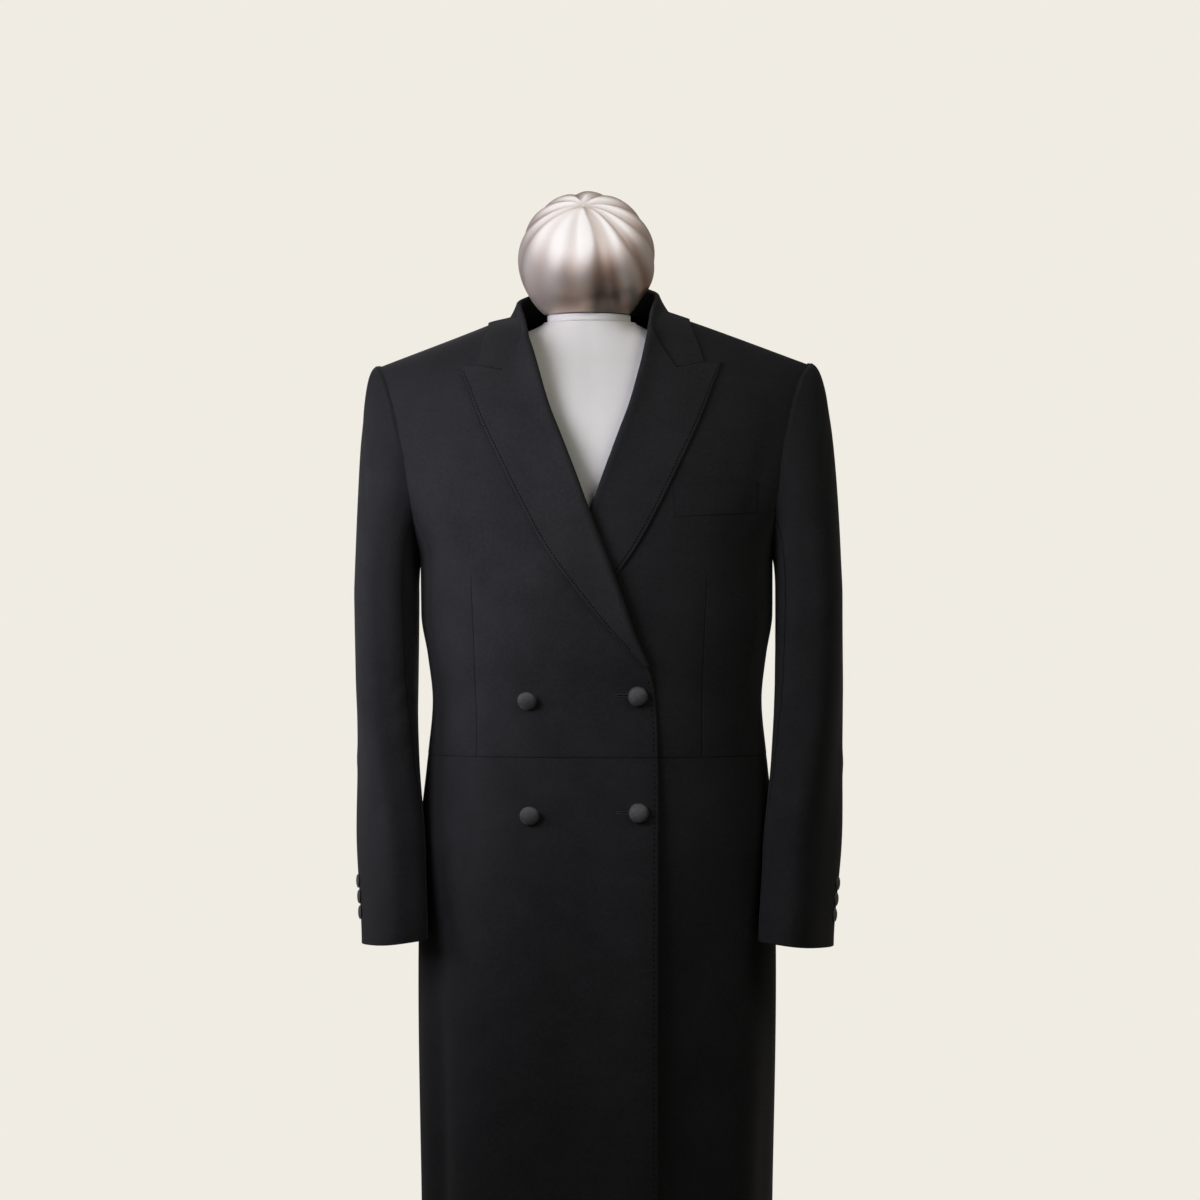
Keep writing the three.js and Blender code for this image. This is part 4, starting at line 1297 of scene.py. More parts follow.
@dataclass(frozen=True)
class Collar:
    """The stand and fall in one strip, from one gorge seam round the neck to the other."""

    rest: float = 0.85  # middle of the fall over the foreparts
    back_rest: float = 2.3  # and over the back's neck seam
    hollow: float = 10.0  # how far the fall hangs in between its edges at the sides
    back_hollow: float = 1.5  # and at the back
    gorge_end: float = 0.72  # share of the gorge line that the collar's end covers
    radius: float = 2.4  # of the fold between stand and fall
    stand_part: float = 0.25  # share of the strip that is the stand
    fold_part: float = 0.17  # and the fold
    stations: Table = Table(
        "u foot_x foot_y foot_z crest_x crest_y crest_z edge_x edge_z",
        (
            (-0.2, -34, 61, 1531.5, -35, 62, 1564, -48, 1524), (0, 0, 68, 1532.5, 0, 70, 1567, 0, 1525),
            (0.2, 34, 61, 1531.5, 35, 62, 1564, 48, 1524),
            (0.42, 63, 36, 1529.5, 62, 38, 1554.5, 84, 1522),
            (0.62, 77.5, 2, 1527.5, 72.5, 2, 1544.5, 104, 1517.2),
            (0.82, 71.5, -31, 1519, 67.3, -35, 1526, 113, 1497),
            (1, 63.5, -54, 1501, 63.6, -61, 1506, 121, 1471),
        ),
    )

    def station(self, u: Array, part: str) -> Array:
        """The foot or the crest of the collar's section at u."""
        return np.stack([self.stations.curve(f"{part}_{axis}")(u) for axis in "xyz"], axis=-1)

    def over(self, u: Array) -> Array:
        """How far the fall's middle lies over the coat, from the back's middle to the gorge."""
        return mix(self.back_rest, self.rest, smooth((u - 0.45) / 0.35))

    def edge_point(self, u: Array) -> Array:
        """The fall's outer edge, lying on the coat; it crosses the shoulder from back to front.

        Args:
            u: from the back's middle to the gorge.

        Returns:
            The edge's place.
        """
        x = self.stations.curve("edge_x")(u)
        z = np.minimum(self.stations.curve("edge_z")(u), BODY.ridge(x) - 0.1)
        ahead, behind = BODY.turn_at(x, z), BODY.turn_at(x, z, front=False)
        crossed = smooth((u - 0.4) / 0.34)[..., None]
        place = mix(BODY.point(behind, z), BODY.point(ahead, z), crossed)
        normal = unit(mix(BODY.normal(behind, z), BODY.normal(ahead, z), crossed))
        return place + normal * self.over(u)[..., None]

    def resting(self, points: Array, u: Array) -> Array:
        """Points of the fall, pushed out along the coat's normal where they would be inside it.

        Args:
            points: the fall as it would hang.
            u: from the back's middle to the gorge.

        Returns:
            The points clear of the coat.
        """
        front = points[..., 1] < 0
        for _ in range(18):
            z = np.minimum(points[..., 2], BODY.ridge(points[..., 0]) - 0.3)
            x = points[..., 0]
            turn = np.where(front, BODY.turn_at(x, z), BODY.turn_at(x, z, front=False))
            normal = BODY.normal(turn, z)
            above = ((points - BODY.point(turn, z)) * normal).sum(-1)
            points = points + normal * np.maximum(0, 0.3 * (self.over(u) - above))[..., None]
        return points

    def outward(self, u: Array, level: Array) -> Array:
        """The way the fold turns: across the crest at the back, towards the edge at the front.

        Args:
            u: from the back's middle to the gorge.
            level: the level way from the crest to the edge.

        Returns:
            A unit vector at each place.
        """
        along_crest = self.station(u + 0.02, "crest") - self.station(u - 0.02, "crest")
        across = unit(along_crest[..., [1, 0, 2]] * np.array([-1.0, 1.0, 0.0]))
        return unit(mix(across, unit(level), smooth((u - 0.35) / 0.3)[..., None]))

    def half(self, s: Array, u: Array) -> Array:
        """A half of the collar: the stand, a half-round fold, then the fall down to its edge.

        Args:
            s: from the foot over the fold to the edge.
            u: from the back's middle to the gorge.

        Returns:
            The middle of the wall.
        """
        foot, crest, edge = self.station(u, "foot"), self.station(u, "crest"), self.edge_point(u)
        outward = self.outward(u, (edge - crest) * np.array([1.0, 1.0, 0.0]))
        turn = np.clip((s - self.stand_part) / self.fold_part, 0, 1) * math.pi
        fold = crest + outward * (self.radius * (1 - np.cos(turn)))[..., None]
        fold = fold + UP * (self.radius * (np.sin(turn) - 1))[..., None]
        stand = mix(foot, crest - UP * self.radius, np.clip(s / self.stand_part, 0, 1)[..., None])
        folded = self.stand_part + self.fold_part
        along = np.clip((s - folded) / (1 - folded), 0, 1)
        bend = smooth((u - 0.8) / 0.2)
        gorge_x = GORGE.line("x", along * self.gorge_end)
        gorge_z = GORGE.line("z", along * self.gorge_end) + 0.7
        gorge_turn = BODY.turn_at(gorge_x, gorge_z)
        gorge = BODY.point(gorge_turn, gorge_z) + BODY.normal(gorge_turn, gorge_z) * self.rest
        start = crest + outward * 2 * self.radius - UP * self.radius
        sag = mix(self.back_hollow, self.hollow, smooth((u - 0.3) / 0.3)) * 4 * along * (1 - along)
        hang = mix(start, edge, along[..., None]) - UP * sag[..., None]
        fall = self.resting(mix(hang, gorge, bend[..., None]), u)
        fall = mix(start, fall, smooth(along / mix(0.12, 0.04, bend))[..., None])
        over = np.where((s < folded)[..., None], fold, fall)
        return np.where((s < self.stand_part)[..., None], stand, over)

    def surface(self, u: Array, v: Array) -> Array:
        """The whole strip, its right half mirrored.

        Args:
            u: from the foot over the fold to the edge.
            v: from the right gorge round the back to the left one.

        Returns:
            The middle of the wall.
        """
        place = self.half(u, np.abs(2 * v - 1))
        mirrored = place * np.array([-1.0, 1.0, 1.0])
        return BODY.worn(np.where((v < 0.5)[..., None], mirrored, place), Side.WHOLE)

    def build(self) -> None:
        """Makes the collar."""
        # painted shade: the fall's edge gets a dark line, in place of the shade under its edge
        ClothPiece(
            "cloth_collar", self.surface, 56, 190, finish=Finish.FACING, thickness=1.3, sewn="last",
            seam_shade=0.7,
        ).build(["collar"], "folded", ["cloth_back_right", "cloth_back_left", "cloth_forepart_right"])


@dataclass(frozen=True)
class BreastWelt:
    """The breast pocket's welt, a narrow raised strip on the wearer's left."""

    near: float = 87.0  # end nearest the front's middle
    far: float = 174.5
    z: float = 1306.0
    height: float = 33.5
    slope: float = 0.048
    out: tuple[float, float] = (0.05, 0.6)  # its middle over the forepart, below and above

    def surface(self, u: Array, v: Array) -> Array:
        """A leaning strip that follows the forepart.

        Args:
            u: from the near end to the far one.
            v: from the lower edge to the mouth.

        Returns:
            The middle of the wall.
        """
        x = mix(self.near, self.far, u)
        z = self.z + self.slope * (x - self.near) + self.height * v
        return front_point(x, z, Side.LEFT, mix(*self.out, v))

    def build(self) -> None:
        """Makes the welt."""
        # painted shade: a dark line along all four borders, in place of the shade at the welt's edges
        ClothPiece(
            "cloth_breast_welt", self.surface, 26, 12, thickness=1.0, sewn="first last bottom top",
        ).build(["breast_welt"], "laid", ["cloth_forepart_left"])


# ------------------------------------------------------------------ sleeves
@dataclass(frozen=True)
class Sleeves:
    """Two-piece sleeves: a curved cap from the armhole to the arm, then a tube that leans forward."""

    power: float = 2.2  # squareness of the arm's back
    nose_power: float = 3.0  # and of its front, which is flatter
    tube_z: float = 1230.0  # the sleeve is a plain tube below this height
    cuff_z: float = 856.0
    cuff_slope: float = 0.12  # the cuff drops towards the outside of the arm
    front_seam: float = -35.0  # the two seams, degrees round the arm
    back_seam: float = 132.0
    seam_gap: float = 0.16  # half of their gap, degrees
    gap: float = -1.5  # the sleeve head starts just inside the armhole
    sections: Table = Table(
        "z x y half depth toe",
        (
            (849, 215, -62, 30, 57, 24), (950, 221.5, -38, 31, 61, 24), (1050, 226, -16, 32.5, 66, 12),
            (1140, 227.5, -4, 34, 71, 3), (1230, 227.5, 0, 34, 75, 0),
        ),
    )
    creases: Table = Table(
        "turn length width reach depth slant",
        (
            (-15, 1.28, 42, 0.020, -1.1, 0.0016), (-8, 1.36, 46, 0.022, -1.3, 0.0012),
            (-20, 1.45, 36, 0.018, -0.9, 0.0018), (20, 1.12, 30, 0.030, -0.8, -0.0012),
            (60, 0.62, 34, 0.060, -0.9, -0.0020), (150, 1.05, 44, 0.030, -1.0, 0.0016),
            (175, 1.22, 40, 0.026, -1.2, -0.0014), (200, 0.80, 36, 0.040, -1.1, 0.0018),
            (125, 1.50, 40, 0.024, 0.9, 0.0010), (35, 1.62, 34, 0.022, -0.7, 0.0014),
        ),
    )

    def armhole_point(self, turn: Array) -> Array:
        """A point of the armhole seam: turn is -90 at the underarm, 0 in front, 90 at the tip.

        Args:
            turn: degrees round the armhole.

        Returns:
            The point.
        """
        middle, reach = (BODY.tip_z + UNDERARM_Z) / 2, (BODY.tip_z - UNDERARM_Z) / 2
        z = middle + reach * np.sin(np.radians(turn))
        x = armhole_x(z)
        front = np.cos(np.radians(turn)) >= 0
        round_body = np.where(front, BODY.turn_at(x, z), BODY.turn_at(x, z, front=False))
        return BODY.point(round_body, z)

    def section(self, turn: Array, z: Array, side: Side) -> Array:
        """A point of the arm's superellipse section at height z, turned in by the toe.

        Args:
            turn: degrees round the arm.
            z: height, mm.
            side: which arm.

        Returns:
            The point.
        """
        read = {key: self.sections.curve(key)(z) for key in ("x", "y", "half", "depth", "toe")}
        angle, toe = np.radians(turn), np.radians(read["toe"])
        power = 2 / np.where(np.cos(angle) > 0, self.nose_power, self.power)
        across = read["half"] * side.value.girth * signed_power(np.sin(angle), power)
        along = -read["depth"] * signed_power(np.cos(angle), power)
        x = read["x"] + side.value.out + across * np.cos(toe) + along * np.sin(toe)
        y = read["y"] - across * np.sin(toe) + along * np.cos(toe)
        return np.stack([x, y, z], axis=-1)

    def outside(self, turn: Array, length: Array, side: Side) -> Array:
        """The sleeve's outside: length 0 at the armhole, 1 at the tube's top and 2 at the cuff.

        Args:
            turn: degrees round the arm.
            length: place along it.
            side: which arm.

        Returns:
            The point.
        """
        down_tube = np.clip(length - 1, 0, 1)
        at_cuff = self.section(turn, np.full(turn.shape, self.cuff_z), side)
        cuff_x = at_cuff[..., 0] - self.sections.rows[0][1]
        tube_z = mix(self.tube_z, self.cuff_z - self.cuff_slope * cuff_x, down_tube)
        tube = self.section(turn, tube_z, side)
        sine, cosine = np.sin(np.radians(turn)), np.cos(np.radians(turn))
        up, down = np.maximum(0, sine), np.maximum(0, -sine)
        leave = np.stack([16 - 14 * down, -6 * cosine, -14 + 19 * up + 8 * down], axis=-1)
        start = self.armhole_point(turn) + unit(leave) * self.gap
        end = self.section(turn, np.full(turn.shape, self.tube_z), side)
        fall = (start - end)[..., 2] * (0.42 + 0.49 * up * up)
        arrive = end + np.stack([-8 * up, np.zeros_like(up), fall], axis=-1)
        t = np.clip(length, 0, 1)[..., None]
        weights = ((1 - t) ** 3, 3 * t * (1 - t) ** 2, 3 * t * t * (1 - t), t**3)
        cap = sum(w * p for w, p in zip(weights, (start, start + leave, arrive, end)))
        return np.where((length > 1)[..., None], tube, cap)

    def crease(self, turn: Array, length: Array) -> Array:
        """Soft creases across the sleeve, mm out: bells round and along the arm, on a slant.

        Args:
            turn: degrees round the arm.
            length: place along it.

        Returns:
            mm out from the plain sleeve.
        """
        out = np.zeros(np.broadcast(turn, length).shape)
        for centre, place, width, reach, depth, slant in self.creases.rows:
            away = (turn - centre + 180) % 360 - 180
            out = out + depth * bell(away, width) * bell(length - place - slant * away, reach)
        roping = 0.7 * bell(length - 0.09, 0.05) * smooth(np.sin(np.radians(turn)) * 2)
        return out + roping

    def surface(self, first: float, last: float, side: Side, u: Array, v: Array) -> Array:
        """A sleeve piece from one seam to the other, its middle half a wall inside its outside.

        Args:
            first: turn of its first seam.
            last: turn of its last seam.
            side: which arm.
            u: from the first seam to the last.
            v: from the cuff to the armhole.

        Returns:
            The middle of the wall.
        """
        turn = mix(first + self.seam_gap, last - self.seam_gap, u)
        length = Curve([0, 0.5, 1], [2, 1.05, 0])(v)
        below = np.minimum(length + 0.01, 2)
        above = np.maximum(below - 0.02, 0)
        along = self.outside(turn, below, side) - self.outside(turn, above, side)
        around = self.outside(turn + 1, length, side) - self.outside(turn - 1, length, side)
        inward = unit(np.cross(around, along))
        out = self.crease(turn, length) - CLOTH / 2
        return BODY.worn(self.outside(turn, length, side) - inward * out[..., None], side)

    def build(self) -> None:
        """Makes the top and under sleeve of both arms."""
        for side in (Side.RIGHT, Side.LEFT):
            name = side.value.name
            for piece, first, last in (
                ("top_sleeve", self.front_seam, self.back_seam),
                ("under_sleeve", self.back_seam, 360 + self.front_seam),
            ):
                # painted shade: both sleeve seams and the armhole get a dark line, in place of the shade in
                # the seams
                ClothPiece(
                    f"cloth_{piece}_{name}", partial(self.surface, first, last, side), 56, 150,
                    flip=side is Side.RIGHT, hem=34, sewn="first last top",
                ).build([f"{piece}_{name}"], "hung", [f"cloth_forepart_{name}", f"cloth_back_{name}"])


# ------------------------------------------------------------------ buttons, buttonholes and stitches
def frame_at(normal: Array) -> tuple[Array, Array]:
    """Two level and upright directions in the plane across a normal."""
    level = unit(np.cross(UP, normal))
    return level, unit(np.cross(normal, level))


@dataclass(frozen=True)
class CoveredButtons:
    """Domed buttons covered in cloth, puckered a little at the rim, on a short shank."""

    crown: Table = Table(
        "radius height",
        (
            (0, -0.25), (0.3, -0.25), (0.32, -0.05), (0.5, 0.03), (0.86, 0.06), (0.94, 0.09),
            (0.985, 0.13), (1.0, 0.19), (0.985, 0.27), (0.945, 0.36), (0.88, 0.45), (0.79, 0.53),
            (0.67, 0.60), (0.53, 0.66), (0.37, 0.705), (0.2, 0.73), (0, 0.74),
        ),
    )
    front_radius: float = 10.4
    shank: float = 1.9  # a front button's underside over the cloth, and what a droop adds
    droop_reach: float = 4.0
    cuff_radius: float = 7.4
    cuff_crown: float = 0.5
    cuff_turn: float = 111.0
    front: Table = Table(
        "x z droop",
        ((48.2, 1118.8, 0.0), (49.5, 995.4, 0.0), (-66.1, 1114.5, 0.5), (-63.4, 992.9, 0.45)),
    )
    front_names: tuple[str, ...] = ("upper_fastened", "lower_fastened", "upper_showing", "lower_showing")
    cuff_z: tuple[float, ...] = (921.4, 905.2, 889.0)
    cuff_names: tuple[str, ...] = ("upper", "middle", "lower")

    def mesh(self, radius: float, place: Array, normal: Array, crown: float) -> MeshData:
        """A turned dome stood on a point, puckered where its cloth is drawn over the rim.

        Near the rim the radius changes by 1.2% of cos(22 a), and the slope of the dome has soft
        hollows of 0.6% of the radius in cos(5 a + 2 sin 2a), where a goes round.

        Args:
            radius: the button's radius, mm.
            place: the middle of its underside.
            normal: the way it faces.
            crown: how high its dome is, 1 for the full height.

        Returns:
            The closed button.
        """
        profile = np.stack([self.crown.column("radius"), self.crown.column("height")], -1)
        dome = turned(profile * np.array([radius, radius * crown]), 64, (0.0, 0.0))
        x, y, z = dome.points.T
        angle = np.arctan2(y, x)
        near_rim = bell(z - 0.16 * radius * crown, 0.16 * radius * crown)
        ripple = 1 + 0.012 * np.cos(22 * angle) * near_rim
        slope = smooth(z / (0.3 * radius * crown)) * smooth(np.hypot(x, y) / (0.5 * radius))
        z = z - 0.006 * radius * slope * (1 + np.cos(5 * angle + 2 * np.sin(2 * angle)))
        level, upright = frame_at(normal)
        points = place + np.outer(x * ripple, level) + np.outer(y * ripple, upright)
        points = points + np.outer(z, normal)
        grain = np.stack([x, y], -1) * MM
        return MeshData(points, dome.faces, grain)

    def on_front(self, x: float, z: float) -> Array:
        """A place on the upper front, with x on the wearer's left."""
        return front_point(np.array(-x), np.array(z), Side.RIGHT)

    def on_arm(self, sleeves: Sleeves, side: Side, turn: float, length: float) -> Array:
        """A place on a sleeve's outside."""
        return BODY.worn(sleeves.outside(np.array(turn), np.array(length), side), side)

    def normal_of(
        self, surface: Callable[[float, float], Array], at: tuple[float, float], step: tuple[float, float]
    ) -> Array:
        """A surface's normal at one place, by small steps both ways.

        Args:
            surface: gives a place from two numbers.
            at: the two numbers.
            step: a small step of each.

        Returns:
            The unit normal.
        """
        (a, b), (da, db) = at, step
        step_a = surface(a + da, b) - surface(a - da, b)
        step_b = surface(a, b + db) - surface(a, b - db)
        return unit(np.cross(step_a, step_b))

    def build(self, sleeves: Sleeves) -> None:
        """Makes the four front buttons and three on each cuff.

        Args:
            sleeves: the sleeves that carry the cuff buttons.
        """
        for name, (x, z, droop) in zip(self.front_names, self.front.rows):
            normal = self.normal_of(self.on_front, (x, z), (1.5, 1.5))
            place = self.on_front(x, z) + normal * (self.shank + self.droop_reach * droop)
            mesh = self.mesh(self.front_radius, place, unit(normal - droop * UP), 1.0)
            mesh.piece(f"covered_button_{name}", Finish.BUTTON, [f"button_front_{name}"])
        for side in (Side.RIGHT, Side.LEFT):
            arm = partial(self.on_arm, sleeves, side)
            for name, z in zip(self.cuff_names, self.cuff_z):
                length = 1 + (sleeves.tube_z - z) / (sleeves.tube_z - sleeves.cuff_z)
                normal = self.normal_of(arm, (self.cuff_turn, length), (1.0, 0.01))
                place = arm(self.cuff_turn, length)
                outward = place - np.array([side.value.sign * 222.0, -50.0, z])
                normal = normal * np.sign((normal * outward).sum())
                mesh = self.mesh(self.cuff_radius, place + normal * 0.5, normal, self.cuff_crown)
                full = f"cuff_{side.value.name}_{name}"
                mesh.piece(f"covered_button_{full}", Finish.BUTTON, [f"button_{full}"])


@dataclass(frozen=True)
class Buttonholes:
    """Hand-worked buttonholes: a close row of purl stitches round a narrow slit, whose dark cut is painted
    shade: a ring of near-black knots.
    """

    length: float = 24.0
    half_gap: float = 1.15  # from the middle out to the purls
    slit_gap: float = 0.3  # and out to the near-black knots that paint the slit's shade
    purls: int = 84  # knots in a ring
    purl: Triple = (0.34, 0.62, 0.4)
    slit: Triple = (0.5, 0.5, 0.12)
    places: Table = Table("x z", ((37.5, 1119.6), (38.5, 996.2)))

    def ring(self, count: int, gap: float) -> tuple[Array, Array]:
        """Evenly spaced points round a long oval, x = L/2 cos^(1/2) and z = gap sin^(1/2).

        Args:
            count: how many points.
            gap: half the width, mm.

        Returns:
            x and z of the points.
        """
        fine = np.linspace(0, 2 * math.pi, 2001)
        x = signed_power(np.cos(fine), 0.5) * self.length / 2
        z = signed_power(np.sin(fine), 0.5) * gap
        run = lengths(np.stack([x, z], -1)[:, None], 0)[:, 0]
        at = np.arange(count) * run[-1] / count
        return np.interp(at, run, x), np.interp(at, run, z)

    def row(self, x: float, z: float, gap: float, size: Triple) -> MeshData:
        """A ring of small knots on the upper front, each a squashed ball.

        Args:
            x: the buttonhole's middle, on the wearer's left.
            z: its height.
            gap: half the ring's width.
            size: half sizes of each knot.

        Returns:
            The knots as one mesh.
        """
        path_x, path_z = self.ring(self.purls, gap)
        own = -(x + path_x)
        place = front_point(own, z + path_z, Side.RIGHT, 0.15)
        step = np.roll(place, -1, axis=0) - np.roll(place, 1, axis=0)
        level = front_point(own - 0.5, z + path_z, Side.RIGHT, 0.15) - place
        return knots(place, unit(step), unit(np.cross(level, UP)), size)

    def build(self) -> None:
        """Makes the two buttonholes of the fastened buttons."""
        for name, (x, z) in zip(("upper", "lower"), self.places.rows):
            purls = self.row(x, z, self.half_gap, self.purl)
            purls.piece(f"buttonhole_{name}", Finish.SILK)
            # painted shade: near-black knots stand in for the shade inside the cut
            slit = self.row(x, z, self.slit_gap, self.slit)
            slit.piece(f"buttonhole_slit_{name}", Finish.THREAD)


def knots(place: Array, along: Array, normal: Array, size: Triple) -> MeshData:
    """Many small squashed balls as one mesh, each laid along its own directions.

    Args:
        place: the middle of each ball.
        along: the direction of each ball's length.
        normal: the direction that each ball stands up in.
        size: half length, half width and half height.

    Returns:
        The joined mesh, where each point is place + along a + across b + normal c.
    """
    latitude = np.radians([-90, -50, 0, 50, 90])
    ball = turned(np.stack([np.cos(latitude), np.sin(latitude)], -1), 6, (0.0, 0.0))
    knot = ball.points * np.array(size)
    across = unit(np.cross(normal, along))
    along = unit(np.cross(across, normal))
    points = (
        place[:, None]
        + along[:, None] * knot[None, :, :1]
        + across[:, None] * knot[None, :, 1:2]
        + normal[:, None] * knot[None, :, 2:]
    )
    starts = np.arange(len(place))[:, None, None] * len(knot)
    grain = np.tile(knot[:, :2] * MM, (len(place), 1))
    return MeshData(points.reshape(-1, 3), (ball.faces[None] + starts).reshape(-1, 4), grain)


@dataclass(frozen=True)
class PickStitches:
    """Small hand stitches set in from the edges of the upper front and the lapels."""

    inset: float = 4.0  # from the edge
    size: Triple = (1.5, 0.95, 0.3)
    lapel_pitch: float = 3.6  # from stitch to stitch
    front_pitch: float = 6.0
    lapel_width: Table = Table("v width", ((0, 28), (0.1, 34), (0.3, 56), (0.6, 78), (1.0, 98)))
    skirt_width: float = 500.0  # how wide the cloth behind the row is, mm
    forepart_width: float = 240.0  # the same above the waist

    def along(self, points: Array, normals: Array, pitch: float) -> MeshData:
        """Stitches at an even pitch along a line of points.

        Args:
            points: the line.
            normals: the cloth's normals on it.
            pitch: mm between two stitches.

        Returns:
            The stitches as one mesh.
        """
        run = lengths(points[:, None], 0)[:, 0]
        at = np.arange(0.5 * pitch, run[-1], pitch)
        place = np.stack([np.interp(at, run, points[:, axis]) for axis in range(3)], -1)
        ahead = np.stack([np.interp(at + 1, run, points[:, axis]) for axis in range(3)], -1)
        behind = np.stack([np.interp(at - 1, run, points[:, axis]) for axis in range(3)], -1)
        normal = unit(np.stack([np.interp(at, run, normals[:, axis]) for axis in range(3)], -1))
        return knots(place + normal * 0.02, unit(ahead - behind), normal, self.size)

    def beside(
        self, piece: ClothPiece, u: Callable[[Array], Array], span: tuple[float, float], pitch: float
    ) -> MeshData:
        """Stitches on the outside of a cloth piece, along the line u of v.

        Args:
            piece: the piece.
            u: the line's place across, from its place along.
            span: where along the piece it starts and ends.
            pitch: mm between two stitches.

        Returns:
            The stitches as one mesh.
        """
        v = np.linspace(*span, 240)
        line = np.stack([u(v) - 0.004, u(v), u(v) + 0.004], axis=1)
        points = piece.surface(line, np.repeat(v[:, None], 3, axis=1))
        normal = grid_normals(points)[:, 1] * (-1.0 if piece.flip else 1.0)
        return self.along(points[:, 1] + normal * piece.thickness / 2, normal, pitch)

    def build(self, lapels: Lapels, panels: Panels) -> None:
        """Makes the stitches along both lapels and the upper front's edge.

        Args:
            lapels: the lapels that they are sewn through.
            panels: the same, of the upper front.
        """
        lapel_width = self.lapel_width.curve("width")
        for side in (Side.RIGHT, Side.LEFT):
            name, surface = side.value.name, partial(lapels.surface, side)
            lapel = ClothPiece(name, surface, 0, 0, thickness=lapels.thickness, flip=side is Side.RIGHT)
            edge = self.beside(
                lapel, lambda v: 1 - self.inset / lapel_width(v), (0.05, 0.985), self.lapel_pitch
            )
            edge.piece(f"stitches_lapel_{name}", Finish.THREAD)
        skirt = ClothPiece("skirt", partial(panels.skirt, Side.RIGHT), 0, 0, flip=True)
        forepart = ClothPiece("forepart", partial(panels.forepart, Side.RIGHT), 0, 0, flip=True)
        line = [
            self.beside(piece, partial(np.full_like, fill_value=self.inset / width), span, self.front_pitch)
            for piece, width, span in (
                (skirt, self.skirt_width, (0.01, 0.995)),
                (forepart, self.forepart_width, (0.01, 0.185)),
            )
        ]
        joined(line).piece("stitches_front_edge", Finish.THREAD)


